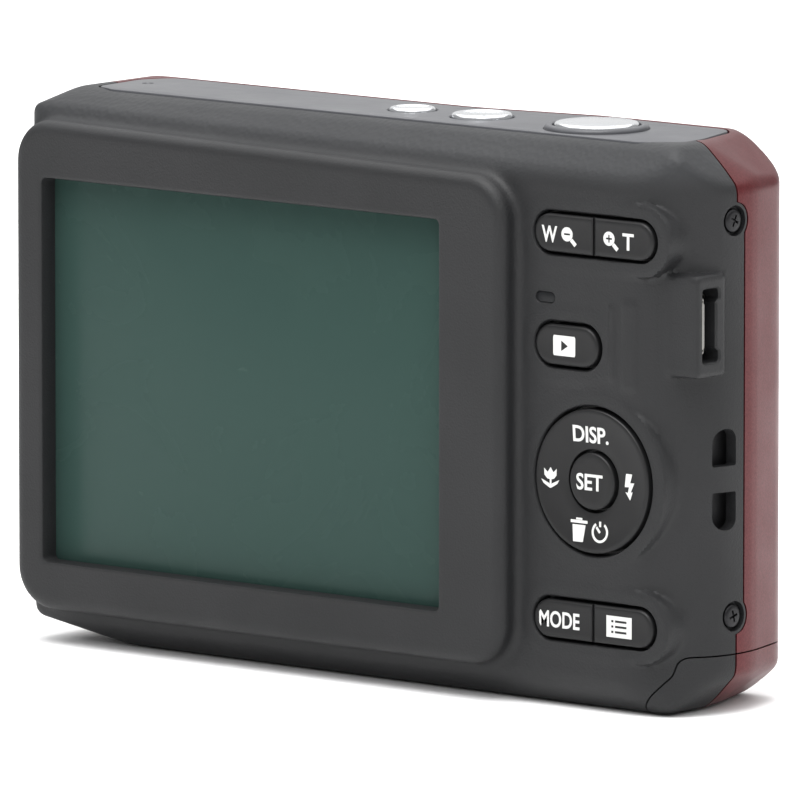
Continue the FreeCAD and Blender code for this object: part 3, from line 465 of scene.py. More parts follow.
def box_distance(x, z, x0, x1, z0, z1, r):
    dx = np.abs(x - (x0 + x1) / 2) - (x1 - x0) / 2 + r
    dz = np.abs(z - (z0 + z1) / 2) - (z1 - z0) / 2 + r
    return np.hypot(np.maximum(dx, 0), np.maximum(dz, 0)) + np.minimum(np.maximum(dx, dz), 0) - r


def plain_form(fields, crease, x, y, z):
    """Both covers together without anything raised on them. The front corners by the grip are cut
    flat at the top and at the bottom."""
    depth = GLASS_Y - y
    edge = EDGE_R[0] + (EDGE_R[1] - EDGE_R[0]) * ramp(depth, *EDGE_R_DEPTH)
    form = round_cut(fields["outline"](x, z), fields["plan"](x, y), edge)
    t = (HALF_WIDTH + 1 - x) / (2 * HALF_WIDTH + 2)
    edge_z = BEVEL_Z[0] + (BEVEL_Z[1] - BEVEL_Z[0]) * t
    run, rise = BEVEL_TOP_DEPTH - PANEL_DEPTH, HEIGHT - edge_z
    bevel = ((z - edge_z) * run - (depth - PANEL_DEPTH) * rise) / np.hypot(run, rise)
    form = round_cut(form, bevel, crease)
    foot = (FOOT_BEVEL - (depth - PANEL_DEPTH) - z) / math.sqrt(2)
    form = round_cut(form, foot, FOOT_R)
    for at, facing in CORNER_CUTS:
        flat = (x - at[0]) * facing[0] + (depth - at[1]) * facing[1] + (z - at[2]) * facing[2]
        form = round_cut(form, flat, CORNER_CUT_R)
    return form


def key_pads(x, depth, z):
    """The raised areas round the keys, which stand proud where the panel falls away to the grip."""
    width, height = ROCKER
    keys = ((ROCKER_X, ZOOM_Z, width, height), (ROCKER_X, MODE_Z, width, height), PLAY,
            (PAD[0], PAD[1], 2 * PAD[2], 2 * PAD[2]))
    pads = np.inf
    for cx, cz, w, h in keys:
        pads = np.minimum(pads, pill_distance(x, z, cx, cz, w + 2 * KEY_PAD, h + 2 * KEY_PAD))
    keep = np.maximum(np.maximum(PAD_Z[0] - z, z - PAD_Z[1]), depth - PAD_ROOT_DEPTH)
    return round_cut(np.maximum(pads, keep), PANEL_DEPTH + PAD_SET_IN - depth, PAD_EDGE_R)


def ridges(x, depth, z):
    """How far the faint upright bands beside the port rise, on the rear face only."""
    height = 0.0
    for x0, x1, z0, z1 in RIDGES:
        raised = ramp(-box_distance(x, z, x0, x1, z0, z1, RIDGE_CORNER_R), *RIDGE_FADE)
        height = height + RIDGE_RISE * raised * (1 - ramp(depth, *RIDGE_FADE_DEPTH))
    return height


def whole_form(fields, settings, x, y, z):
    """The outer form with the bezel, the key pads, the ridges and the port boss."""
    depth = GLASS_Y - y
    form = plain_form(fields, settings.crease / MM, x, y, z)
    form = soft_join(form, key_pads(x, depth, z), PAD_FILLET)
    boss = box_distance(depth, z, *BOSS, BOSS_CORNER_R)
    boss = round_cut(boss, np.maximum(-HALF_WIDTH - x, x - BOSS_X), BOSS_EDGE_R)
    form = soft_join(form, boss, BOSS_FILLET) - ridges(x, depth, z)
    frame_depth = np.maximum(BEZEL_DEPTH - depth, depth - BEZEL_ROOT_DEPTH)
    bezel = round_cut(fields["bezel"](x, z), frame_depth, BEZEL_EDGE_R)
    return soft_join(form, bezel, settings.bezel_valley / MM)


def net(field, low, high, step):
    """Surface net: one vertex per cell the surface passes through, then moved onto the surface."""
    axes = [np.arange(a, b + step, step) for a, b in zip(low, high)]
    grid = np.meshgrid(*axes, indexing="ij")
    value = field(*grid)
    inside = value < 0
    shape = [len(a) - 1 for a in axes]
    total = np.zeros(shape + [3])
    count = np.zeros(shape)
    for axis in range(3):
        others = [k for k in range(3) if k != axis]
        for da in (0, 1):
            for db in (0, 1):
                start = [slice(0, n) for n in shape]
                start[others[0]] = slice(da, shape[others[0]] + da)
                start[others[1]] = slice(db, shape[others[1]] + db)
                end = list(start)
                end[axis] = slice(1, shape[axis] + 1)
                a, b = value[tuple(start)], value[tuple(end)]
                cross = (a < 0) != (b < 0)
                t = np.where(cross, a / np.where(cross, a - b, 1), 0)
                corner = [0.0, 0.0, 0.0]
                corner[others[0]], corner[others[1]] = da, db
                for k in range(3):
                    total[..., k] += cross * (t if k == axis else corner[k])
                count += cross
    active = count > 0
    ids = np.full(shape, -1)
    ids[active] = np.arange(active.sum())
    where = np.argwhere(active)
    points = (where + total[active] / count[active][:, None]) * step + np.array(low)
    for _ in range(4):
        gradient = slopes(field, points)
        here = field(*points.T)
        move = here / np.maximum((gradient ** 2).sum(1), 0.05)
        points -= np.clip(move[:, None] * gradient, -0.5 * step, 0.5 * step)
    quads = []
    for axis in range(3):
        b, c = (axis + 1) % 3, (axis + 2) % 3
        lead = [slice(1, n) for n in shape]
        lead[axis] = slice(0, shape[axis])
        tail = list(lead)
        tail[axis] = slice(1, shape[axis] + 1)
        first, second = inside[tuple(lead)], inside[tuple(tail)]
        at = np.argwhere(first != second) + [0 if k == axis else 1 for k in range(3)]
        rising = inside[tuple(at.T)]
        eb, ec = np.eye(3, dtype=int)[b], np.eye(3, dtype=int)[c]
        corners = [ids[tuple((at - s).T)] for s in (0 * eb, eb, eb + ec, ec)]
        square = np.column_stack(corners)
        quads.append(np.where(rising[:, None], square, square[:, ::-1]))
    return points, np.concatenate(quads)


def slopes(field, points, h=0.02):
    out = np.zeros_like(points)
    for k in range(3):
        step = np.zeros(3)
        step[k] = h
        out[:, k] = (field(*(points + step).T) - field(*(points - step).T)) / (2 * h)
    return out


def hollow_body(settings):
    """The closed body: its outer skin and, turned inwards, the inner face of its wall."""
    fields = {"outline": outline_field(rounded(OUTLINE, OUTLINE_R)),
              "plan": outline_field(rounded(PLAN, PLAN_R)),
              "bezel": outline_field(rounded(BEZEL, BEZEL_R))}
    outer = net(lambda x, y, z: whole_form(fields, settings, x, y, z),
                FIELD_LOW, FIELD_HIGH, settings.cell / MM)
    inner = net(lambda x, y, z: plain_form(fields, INNER_CREASE, x, y, z) + WALL,
                FIELD_LOW, FIELD_HIGH, INNER_CELL)
    verts = np.concatenate([outer[0], inner[0]])
    faces = np.concatenate([outer[1], inner[1][:, ::-1] + len(outer[0])])
    return make_object("hollow_body", verts, faces)


# ---- Materials -----------------------------------------------------------------------------------
def new_material(name):
    material = bpy.data.materials.new(name)
    material.use_nodes = True
    nodes = material.node_tree.nodes
    nodes.clear()
    out = nodes.new("ShaderNodeOutputMaterial")
    shader = nodes.new("ShaderNodeBsdfPrincipled")
    material.node_tree.links.new(shader.outputs[0], out.inputs[0])
    return material, material.node_tree, shader


def node(tree, kind, settings=None, values=None, links=None):
    """Adds a node with its settings, its socket values and links from other sockets."""
    made = tree.nodes.new(kind)
    for key, value in (settings or {}).items():
        setattr(made, key, value)
    for key, value in (values or {}).items():
        made.inputs[key].default_value = value
    for key, socket in (links or {}).items():
        tree.links.new(socket, made.inputs[key])
    return made


def per_mm(size):
    """Noise scale for a pattern whose cells are size millimetres, on coordinates in metres."""
    return 1.0 / (size * MM)


def surface(name, colour, rough, metallic=0.0, grain=0.25, depth=0.01, rough_swing=0.06,
            mottle=0.06, coat=0.0, coat_rough=0.1, specular=0.5, wear=0.0, wear_colour=None):
    """A finish with grain of a given size, uneven roughness, faint mottling and optional wear.

    colour is linear, grain is the texture's cell in mm and depth its height in mm.
    """
    material, tree, shader = new_material(name)
    shader.inputs["Metallic"].default_value = metallic
    shader.inputs["Specular IOR Level"].default_value = specular
    shader.inputs["Coat Weight"].default_value = coat
    shader.inputs["Coat Roughness"].default_value = coat_rough
    coords = node(tree, "ShaderNodeTexCoord").outputs["Object"]
    fine = node(tree, "ShaderNodeTexNoise", values={"Scale": per_mm(grain), "Detail": 3.0},
                links={"Vector": coords})
    broad = node(tree, "ShaderNodeTexNoise", values={"Scale": per_mm(9.0), "Detail": 4.0},
                 links={"Vector": coords})
    swing = node(tree, "ShaderNodeMapRange",
                 values={"From Min": 0.3, "From Max": 0.7, "To Min": rough - rough_swing,
                         "To Max": rough + rough_swing}, links={"Value": broad.outputs[0]})
    tree.links.new(swing.outputs[0], shader.inputs["Roughness"])
    bump = node(tree, "ShaderNodeBump", values={"Strength": 1.0, "Distance": depth * MM},
                links={"Height": fine.outputs[0]})
    tree.links.new(bump.outputs[0], shader.inputs["Normal"])
    darker = [c * (1 - mottle) for c in colour[:3]] + [1.0]
    tint = node(tree, "ShaderNodeMix", {"data_type": "RGBA"}, {6: colour, 7: darker},
                {0: broad.outputs[0]})
    colour_out = tint.outputs[2]
    if wear:
        patch = node(tree, "ShaderNodeTexNoise", values={"Scale": per_mm(3.0), "Detail": 8.0,
                     "Roughness": 0.7}, links={"Vector": coords})
        mask = node(tree, "ShaderNodeMapRange", values={"From Min": 0.66, "From Max": 0.74,
                    "To Min": 0.0, "To Max": wear}, links={"Value": patch.outputs[0]})
        worn = node(tree, "ShaderNodeMix", {"data_type": "RGBA"}, {7: srgb(wear_colour)},
                    {0: mask.outputs[0], 6: colour_out})
        colour_out = worn.outputs[2]
    tree.links.new(colour_out, shader.inputs["Base Color"])
    return material


def body_black(colours):
    """Moulded ABS, spark-eroded texture: near black and matte. Round the rear top bevel the grain opens up
    into a leather-like crackle, and there the black is painted a shade lighter: a painted highlight for the
    light that falls on the bevel from above."""
    material, tree, shader = new_material("Moulded ABS, spark-eroded black")
    coords = node(tree, "ShaderNodeTexCoord").outputs["Object"]
    split = node(tree, "ShaderNodeSeparateXYZ", links={0: coords})
    fine = node(tree, "ShaderNodeTexNoise", values={"Scale": per_mm(0.22), "Detail": 2.0},
                links={"Vector": coords})
    cells = node(tree, "ShaderNodeTexVoronoi", {"feature": "SMOOTH_F1"},
                 {"Scale": per_mm(0.6), "Smoothness": 0.4}, {"Vector": coords})
    # Rises over the rear top bevel: it swaps the fine grain for the crackle and lays on the painted
    # highlight
    high = node(tree, "ShaderNodeMapRange", {"interpolation_type": "SMOOTHSTEP"},
                {"From Min": 54.5 * MM, "From Max": 57.5 * MM, "To Min": 0.0, "To Max": 1.0},
                {"Value": split.outputs[2]})
    height = node(tree, "ShaderNodeMix", {"data_type": "FLOAT"}, None,
                  {0: high.outputs[0], 2: fine.outputs[0], 3: cells.outputs[0]})
    bump = node(tree, "ShaderNodeBump", values={"Strength": 1.0, "Distance": 0.045 * MM},
                links={"Height": height.outputs[0]})
    tree.links.new(bump.outputs[0], shader.inputs["Normal"])
    broad = node(tree, "ShaderNodeTexNoise", values={"Scale": per_mm(12.0), "Detail": 5.0},
                 links={"Vector": coords})
    rough = node(tree, "ShaderNodeMapRange", values={"From Min": 0.3, "From Max": 0.7,
                 "To Min": 0.5, "To Max": 0.6}, links={"Value": broad.outputs[0]})
    tree.links.new(rough.outputs[0], shader.inputs["Roughness"])
    tint = node(tree, "ShaderNodeMix", {"data_type": "RGBA"},
                {6: colours.body, 7: colours.body_low}, {0: broad.outputs[0]})
    # Painted highlight: the black is lightened over the rear top bevel, where light from above falls
    crown = node(tree, "ShaderNodeMix", {"data_type": "RGBA"}, {7: colours.crown},
                 {0: high.outputs[0], 6: tint.outputs[2]})
    tree.links.new(crown.outputs[2], shader.inputs["Base Color"])
    shader.inputs["Specular IOR Level"].default_value = 0.38
    return material


def cover_red(colours):
    """Sprayed metallic lacquer over ABS: dull red with fine flakes under a soft clear coat. Real
    flakes are too fine to show, so they are drawn a sixth of a millimetre wide."""
    material, tree, shader = new_material("Metallic lacquer on ABS, red")
    coords = node(tree, "ShaderNodeTexCoord").outputs["Object"]
    flakes = node(tree, "ShaderNodeTexVoronoi", {"feature": "F1"}, {"Scale": per_mm(0.16)},
                  {"Vector": coords})
    cloud = node(tree, "ShaderNodeTexNoise", values={"Scale": per_mm(7.0), "Detail": 5.0},
                 links={"Vector": coords})
    sparkle = node(tree, "ShaderNodeSeparateColor", links={0: flakes.outputs["Color"]})
    tint = node(tree, "ShaderNodeMix", {"data_type": "RGBA"},
                {6: colours.cover, 7: colours.flake}, {0: sparkle.outputs[0]})
    tree.links.new(tint.outputs[2], shader.inputs["Base Color"])
    bump = node(tree, "ShaderNodeBump", values={"Strength": 0.5, "Distance": 0.004 * MM},
                links={"Height": flakes.outputs["Color"]})
    tree.links.new(bump.outputs[0], shader.inputs["Normal"])
    rough = node(tree, "ShaderNodeMapRange", values={"From Min": 0.3, "From Max": 0.7,
                 "To Min": 0.34, "To Max": 0.46}, links={"Value": cloud.outputs[0]})
    tree.links.new(rough.outputs[0], shader.inputs["Roughness"])
    shader.inputs["Metallic"].default_value = 0.4
    shader.inputs["Specular IOR Level"].default_value = 0.25
    shader.inputs["Coat Weight"].default_value = 0.1
    shader.inputs["Coat Roughness"].default_value = 0.22
    return material


def display_teal(colours):
    """Hard-coated display window over a switched-off liquid crystal: deep teal, smooth and anti-glare,
    with the faintest wiping marks."""
    material, tree, shader = new_material("Hard-coated display glass, dark teal")
    coords = node(tree, "ShaderNodeTexCoord").outputs["Object"]
    wipes = node(tree, "ShaderNodeTexNoise", values={"Scale": per_mm(14.0), "Detail": 6.0,
                 "Distortion": 1.2}, links={"Vector": coords})
    rough = node(tree, "ShaderNodeMapRange", values={"From Min": 0.35, "From Max": 0.65,
                 "To Min": 0.22, "To Max": 0.3}, links={"Value": wipes.outputs[0]})
    tree.links.new(rough.outputs[0], shader.inputs["Roughness"])
    tint = node(tree, "ShaderNodeMix", {"data_type": "RGBA"},
                {6: colours.display, 7: colours.display_wiped}, {0: wipes.outputs[0]})
    tree.links.new(tint.outputs[2], shader.inputs["Base Color"])
    shader.inputs["Specular IOR Level"].default_value = 0.08
    return material


def clear_glass(name, tint, rough):
    """Polished optical glass or clear acrylic: lets light through, with a faint handling haze."""
    material, tree, shader = new_material(name)
    coords = node(tree, "ShaderNodeTexCoord").outputs["Object"]
    haze = node(tree, "ShaderNodeTexNoise", values={"Scale": per_mm(4.0), "Detail": 4.0},
                links={"Vector": coords})
    spread = node(tree, "ShaderNodeMapRange", values={"From Min": 0.3, "From Max": 0.7,
                  "To Min": rough, "To Max": rough + 0.05}, links={"Value": haze.outputs[0]})
    tree.links.new(spread.outputs[0], shader.inputs["Roughness"])
    shader.inputs["Base Color"].default_value = srgb(tint)
    shader.inputs["Transmission Weight"].default_value = 0.92
    shader.inputs["IOR"].default_value = 1.5
    return material


# Each plain finish: material and process, its colour unless it is a setting, roughness, then what
# differs from an ordinary moulding
FINISHES = {
    # satin and silky smooth, paler than the body, so it catches the overhead light
    "plate": ("Moulded ABS, satin graphite", None, 0.42, {"grain": 0.12, "depth": 0.004}),
    # black with a slight sheen that parts the keys from the matte body
    "key": ("Moulded ABS, satin black", None, 0.45, {"grain": 0.18, "depth": 0.006, "specular": 0.3}),
    # bright plated, brushed so fine that it only softens reflections
    "chrome": ("Satin chrome plating on ABS", None, 0.2,
               {"metallic": 1.0, "grain": 0.08, "depth": 0.001, "mottle": 0.03}),
    # dead white ink, slightly soft
    "print": ("Pad-printed ink, white", None, 0.6, {"grain": 0.1, "depth": 0.004}),
    # plain bright sheet with duller rubbed patches
    "sheet": ("Stamped stainless steel", "#b4b6b8", 0.32,
              {"metallic": 1.0, "grain": 0.3, "depth": 0.002, "wear": 0.4, "wear_colour": "#8b8c8e"}),
    # glossy green varnish, lighter where it lies over copper
    "board": ("Glass-fibre board, green solder mask", "#1f4a33", 0.4,
              {"grain": 0.5, "depth": 0.01, "coat": 0.4, "wear": 0.6, "wear_colour": "#2f6a48"}),
    # almost black, under a polished cover glass
    "sensor": ("Silicon sensor, dark", "#20242c", 0.2, {"grain": 0.2, "depth": 0.001, "coat": 0.6}),
    # flat black, so nothing shines behind the window
    "panel": ("Liquid-crystal cell, matte black edge", "#101214", 0.5, {"grain": 0.2, "depth": 0.002}),
    # dark grey with the dry look of filled plastic, greyer where it slides
    "barrel": ("Glass-filled polycarbonate, dark grey", "#3a3b3d", 0.45,
               {"grain": 0.2, "depth": 0.006, "wear": 0.2, "wear_colour": "#55565a"}),
    # cool bright metal with the finest turning marks
    "ring": ("Anodised aluminium, turned", "#8d8f94", 0.3,
             {"metallic": 1.0, "grain": 0.1, "depth": 0.003}),
    # glossy deep red that looks nearly black until it is lit
    "red_lamp": ("Moulded acrylic, deep red", "#5a1512", 0.2, {"grain": 0.4, "depth": 0.002, "coat": 0.5}),
    # dark and only half shiny, a shade off the black round it
    "smoke": ("Moulded acrylic, smoked", "#17181a", 0.35, {"grain": 0.3, "depth": 0.002, "specular": 0.2}),
    # nearly a mirror, faintly wavy
    "mirror": ("Vacuum-metallised reflector", "#e8e8ea", 0.12,
               {"metallic": 1.0, "grain": 0.6, "depth": 0.004}),
    # soft gloss over dark blue
    "sleeve": ("Heat-shrunk PVC sleeve, dark blue", "#1c2238", 0.35,
               {"grain": 0.5, "depth": 0.01, "coat": 0.2}),
    # dull and fibrous
    "paper": ("Pulp cone, black", "#1b1b1b", 0.8, {"grain": 0.25, "depth": 0.02}),
    # ordinary inner moulding, dull black
    "chamber": ("Moulded polycarbonate, black", "#1d1d1f", 0.55, {"grain": 0.3, "depth": 0.008}),
    # grey film over steel, with a wet gloss
    "cell": ("Shrink-wrapped steel can, grey", "#5e646b", 0.3,
             {"metallic": 0.4, "grain": 0.6, "depth": 0.004, "coat": 0.4}),
    # warm bright metal, browner where the plating is rubbed
    "nickel": ("Nickel-plated spring steel", "#c0bdb4", 0.25,
               {"metallic": 1.0, "grain": 0.3, "depth": 0.002, "wear": 0.4, "wear_colour": "#8e897c"}),
    # black with an oily shine, bare where the driver has been
    "screw": ("Black-oxide steel", "#1d1d1f", 0.36,
              {"metallic": 0.6, "grain": 0.12, "depth": 0.004, "wear": 0.5, "wear_colour": "#77777a"}),
    # clean grey metal
    "pin": ("Ground steel", "#a8aaac", 0.25, {"metallic": 1.0, "grain": 0.1, "depth": 0.002}),
    # dull silver with the smear of stamping
    "port": ("Tin-plated steel, stamped", "#8d8c88", 0.34,
             {"metallic": 1.0, "grain": 0.2, "depth": 0.003, "wear": 0.5, "wear_colour": "#96948e"}),
    # dense matte black
    "tongue": ("Liquid-crystal polymer, black", "#151516", 0.5, {"grain": 0.15, "depth": 0.003}),
    # pale gold with a turned shine
    "brass": ("Turned brass, nickel-flashed", "#b7a878", 0.3,
              {"metallic": 1.0, "grain": 0.15, "depth": 0.004}),
}
OWN_RECIPES = {"body": body_black, "red": cover_red, "display": display_teal}
CLEAR = {"lens": ("Coated optical glass", "#e6e0f2", 0.03),
         "acrylic": ("Moulded clear acrylic", "#e9ecee", 0.06)}
made_finishes = {}


def finish(name):
    """The material of that finish, made once."""
    if name not in made_finishes:
        colours = bpy.context.scene.camera_finishes
        if name in OWN_RECIPES:
            made_finishes[name] = OWN_RECIPES[name](colours)
        elif name in CLEAR:
            made_finishes[name] = clear_glass(*CLEAR[name])
        else:
            title, code, rough, more = FINISHES[name]
            colour = srgb(code) if code else list(getattr(colours, name))
            made_finishes[name] = surface(title, colour, rough, **more)
    return made_finishes[name]


# ---- Covers --------------------------------------------------------------------------------------
def seam_solid(gap):
    """Everything behind the parting line. Between the side screws the line steps forward and it
    goes round each screw head."""
    back = cutter("seam_back", [loft("y", [(block(-60, 60, -10, 80), -20.0),
                                           (block(-60, 60, -10, 80), SEAM_DEPTH + gap)])])
    line = []
    foot, top = SEAM_SIDE
    for z in np.arange(foot, top + 0.01, 0.1):
        reach = SEAM_DEPTH
        if SIDE_SCREWS[0][1] < z < SIDE_SCREWS[1][1]:
            reach = SEAM_JOG_DEPTH
        for depth, at in SIDE_SCREWS:
            if abs(z - at) < SCREW_CLEAR_R:
                reach = max(reach, depth + math.sqrt(SCREW_CLEAR_R ** 2 - (z - at) ** 2))
        line.append((reach + gap, z))
    step = [(6.0, foot)] + line + [(6.0, top)]
    side = cutter("seam_side", [loft("x", [(step, -60.0), (step, -38.0)])])
    return combine(back, side, "UNION")


def door_solid(inset):
    """The part of the shell that swings with the battery door."""
    x0, x1, z0, z1 = DOOR_FLOOR
    near, far = DOOR_FLOOR_DEPTH
    floor = block(x0, x1 - inset, z0, z1)
    flat = cutter("door_floor", [loft("y", [(floor, near + inset), (floor, far - inset)])])
    end = grown_outline(rounded(DOOR_END, DOOR_END_R), -inset)
    side = cutter("door_side", [loft("y", [(end, -2.0), (end, 24.0)])])
    return combine(flat, side, "UNION")


def key_opening(outline, depth=PANEL_DEPTH):
    """A hole with a softly broken edge where it meets the panel."""
    flare = grown_outline(outline, 0.22)
    return loft("y", [(outline, 4.6), (outline, depth + 0.22), (grown_outline(outline, 0.07), depth + 0.06),
                      (flare, depth - 0.08), (flare, depth - 3.0)])


def rear_openings():
    """Display window, keys, status light, port and strap slots."""
    gap = 2 * KEY_GAP
    x0, x1, z0, z1 = DISPLAY
    window = block(x0, x1, z0, z1, 0.6)
    lip = grown_outline(window, 0.3)
    pocket = block(x0 - 0.9, x1 + 0.9, z0 - 0.9, z1 + 0.9, 0.6)
    solids = [loft("y", [(pocket, 5.0), (pocket, 0.0), (window, -0.01), (window, BEZEL_DEPTH + 0.3),
                         (grown_outline(window, 0.09), BEZEL_DEPTH + 0.09), (lip, BEZEL_DEPTH - 0.02),
                         (lip, BEZEL_DEPTH - 1)])]
    for z in (ZOOM_Z, MODE_Z):
        solids.append(key_opening(pill(ROCKER_X, z, ROCKER[0] + gap, ROCKER[1] + gap)))
    solids.append(key_opening(pill(PLAY[0], PLAY[1], PLAY[2] + gap, PLAY[3] + gap)))
    solids.append(key_opening(circle(PAD[0], PAD[1], PAD[2] + KEY_GAP, 72)))
    light = pill(*LIGHT)
    solids.append(loft("y", [(light, 4.0), (light, PANEL_DEPTH + 0.1),
                             (grown_outline(light, 0.1), PANEL_DEPTH - 0.05),
                             (grown_outline(light, 0.1), PANEL_DEPTH - 2)]))
    port = port_outline(0.0)
    solids.append(loft("x", [(port, -39.5), (port, -44.98), (grown_outline(port, 0.22), -45.24),
                             (grown_outline(port, 0.22), -47.0)]))
    for (low, high), radii in zip(STRAP_Z, ([1.5, 1.2, 0.25, 0.25], [0.25, 0.25, 1.2, 1.5])):
        near, far = STRAP_DEPTH
        slot = rounded([(near, low), (far, low), (far, high), (near, high)], radii, math.radians(12))
        solids.append(loft("x", [(slot, -42.4), (slot, -45.0), (grown_outline(slot, 0.2), -45.24),
                                 (grown_outline(slot, 0.2), -47.0)]))
    return solids


def port_outline(inset):
    """The port's mouth: a slot whose forward corners are notched."""
    d0, d1, z0, z1 = PORT
    waist = d1 - PORT_WAIST
    corners = [(d0, z0), (d1, z0), (d1, z0 + 1.1), (waist, z0 + 1.5),
               (waist, z1 - 1.5), (d1, z1 - 1.1), (d1, z1), (d0, z1)]
    radii = [0.35, 0.35, 0.15, 0.15, 0.15, 0.15, 0.35, 0.35]
    return grown_outline(rounded(corners, radii, math.radians(30)), -inset)


def seats():
    """Counterbores for the side screws and the holes for their shanks."""
    solids = []
    for depth, z in SIDE_SCREWS:
        wide, narrow = circle(depth, z, 1.6, 40), circle(depth, z, 0.8, 40)
        solids.append(loft("x", [(wide, -47.0), (wide, -44.3), (narrow, -44.3), (narrow, -42.0)]))
    return solids


def under_openings():
    """Tripod opening and the counterbores under the body."""
    solids = []
    x, depth, r = TRIPOD
    tripod = circle(x, GLASS_Y - depth, r, 60)
    solids.append(loft("z", [(grown_outline(tripod, 0.2), -1.0), (grown_outline(tripod, 0.2), 0.0),
                             (tripod, 0.2), (tripod, 2.4)]))
    for x, depth, seat in BOTTOM_SCREWS:
        wide, narrow = circle(x, GLASS_Y - depth, 1.7, 40), circle(x, GLASS_Y - depth, 0.8, 40)
        solids.append(loft("z", [(wide, -1.0), (wide, seat + 0.62), (narrow, seat + 0.62), (narrow, 6.0)]))
    return solids


def plate_opening():
    loop = grown_outline(rounded(TOP_PLATE, TOP_PLATE_R), 0.2)
    return loft("z", [(loop, 57.2), (loop, 59.42), (grown_outline(loop, 0.14), 59.56),
                      (grown_outline(loop, 0.14), 62.0)])


def front_openings():
    """Lens hole, flash window, focus lamp."""
    hole = circle(*LENS, LENS_HOLE_R, 120)
    flash = block(*FLASH, 0.8)
    lamp = circle(*FOCUS_LAMP, 40)
    return [loft("y", [(hole, 12.0), (hole, 23.0)]),
            loft("y", [(flash, 15.5), (flash, 17.8), (grown_outline(flash, 0.2), 18.05),
                       (grown_outline(flash, 0.2), 23.0)]),
            loft("y", [(lamp, 14.0), (lamp, 17.8), (grown_outline(lamp, 0.2), 18.05),
                       (grown_outline(lamp, 0.2), 23.0)])]


def door_halves(whole, seam):
    """The door's black rear half and red front half. Under its floor runs the latch's way and at the
    grip end a notch leaves room for the hinge eye."""
    door = combine(whole, door_solid(DOOR_GAP), "INTERSECT")
    rib = block(*DOOR_RIB)
    ribs = [loft("y", [(rib, near), (rib, far)]) for near, far in DOOR_RIB_DEPTHS]
    combine(door, cutter("door_ribs", ribs), "UNION")
    under = block(-60, 60, -2.0, DOOR_LIFT)
    combine(door, cutter("lift", [loft("y", [(under, -10.0), (under, 40.0)])]), "DIFFERENCE")
    well, slot = block(*LATCH_WELL), block(*LATCH_SLOT)
    way = loft("z", [(well, -1.0), (well, LATCH_WELL_TOP), (slot, LATCH_WELL_TOP), (slot, 3.0)])
    combine(door, cutter("latch_way", [way]), "DIFFERENCE")
    notch = loft("y", [(HINGE_NOTCH, depth) for depth in HINGE_NOTCH_DEPTH])
    combine(door, cutter("hinge_notch", [notch]), "DIFFERENCE")
    front = duplicate(door, "door_front")
    half = block(-60, 60, -5, 20)
    combine(door, cutter("behind", [loft("y", [(half, -10.0), (half, SEAM_DEPTH)])]), "INTERSECT")
    combine(front, cutter("before", [loft("y", [(half, -10.0), (half, SEAM_DEPTH + seam)])]), "DIFFERENCE")
    return door, front


class CAMERA_OT_covers(bpy.types.Operator):
    """Rear cover, front cover and the two halves of the battery door, cut from one soft body"""
    bl_idname = "camera.covers"
    bl_label = "Covers and door"

    def execute(self, context):
        settings = context.scene.camera_covers
        seam = settings.seam / MM
        whole = hollow_body(settings)
        front = duplicate(whole, "front")
        combine(front, door_solid(0.0), "DIFFERENCE")
        combine(front, cutter("under", under_openings() + [plate_opening()]), "DIFFERENCE")
        combine(front, cutter("seats", seats()), "DIFFERENCE")
        rear = duplicate(front, "rear")
        combine(rear, seam_solid(0.0), "INTERSECT")
        combine(rear, cutter("rear_openings", rear_openings()), "DIFFERENCE")
        combine(front, seam_solid(seam), "DIFFERENCE")
        combine(front, cutter("front_openings", front_openings()), "DIFFERENCE")
        door, door_front = door_halves(whole, seam)
        for piece, name, body, slot, look, cad_name in (
                (rear, "rear_cover_skin", "camera", "body_black", "body", "rear_cover"),
                (front, "front_cover_skin", "camera", "cover_red", "red", "front_cover"),
                (door, "door_skin", "door", "body_black", "body", "battery_door"),
                (door_front, "door_front_skin", "door", "cover_red", "red", "battery_door_front")):
            settle(shade(piece), name, body, finish(look), [cad_name])
        return {"FINISHED"}


# ---- Keys ----------------------------------------------------------------------------------------
def key_cap(outline, edge, dish=KEY_DISH, foot=2.15, lip=0.6):
    """A key with a rounded rim and a face dished by a hair, standing on a thin lip."""
    rings = [(grown_outline(outline, lip), foot), (grown_outline(outline, lip), foot - 0.23),
             (outline, foot - 0.23), (outline, edge)]
    for turn in (30, 60, 90):
        a = math.radians(turn)
        rings.append((grown_outline(outline, -edge * (1 - math.cos(a))), edge * (1 - math.sin(a))))
    rings.append((grown_outline(outline, -edge - 0.35), dish * 0.45))
    rings.append((grown_outline(outline, -edge - 0.9), dish * 0.9))
    rings.append((grown_outline(outline, -edge - 1.3), dish))
    return loft("y", rings)


def turned(profile, axis, at, count=96):
    """Revolves (radius, place) points about a line along the axis. Zero radii close to a point."""
    verts, faces, rows = [], [], []
    for r, along in profile:
        loop = [(at[0], at[1])] if r == 0 else circle(at[0], at[1], r, count)
        rows.append((len(verts), len(loop)))
        verts += place(axis, loop, along)
    for (a, na), (b, nb) in zip(rows, rows[1:]):
        for i in range(count):
            j = (i + 1) % count
            if na == 1:
                faces.append((a, b + j, b + i))
            elif nb == 1:
                faces.append((a + i, a + j, b))
            else:
                faces.append((a + i, a + j, b + j, b + i))
    return verts, faces


def rocker(name, z, edge):
    """A two-way key with a fine groove across its middle, which opens towards the user."""
    key = cutter(name, [key_cap(pill(ROCKER_X, z, *ROCKER), edge)])
    half = [(0.17, 0.35), (0.17, 0.15), (0.3, 0.0), (0.36, -1.0)]    # half width and depth
    groove = [(-w, depth) for w, depth in half] + [(w, depth) for w, depth in reversed(half)]
    way = [(ROCKER_X + w, GLASS_Y - depth) for w, depth in groove]
    return combine(key, cutter("groove", [loft("z", [(way, z - 4), (way, z + 4)])]), "DIFFERENCE")


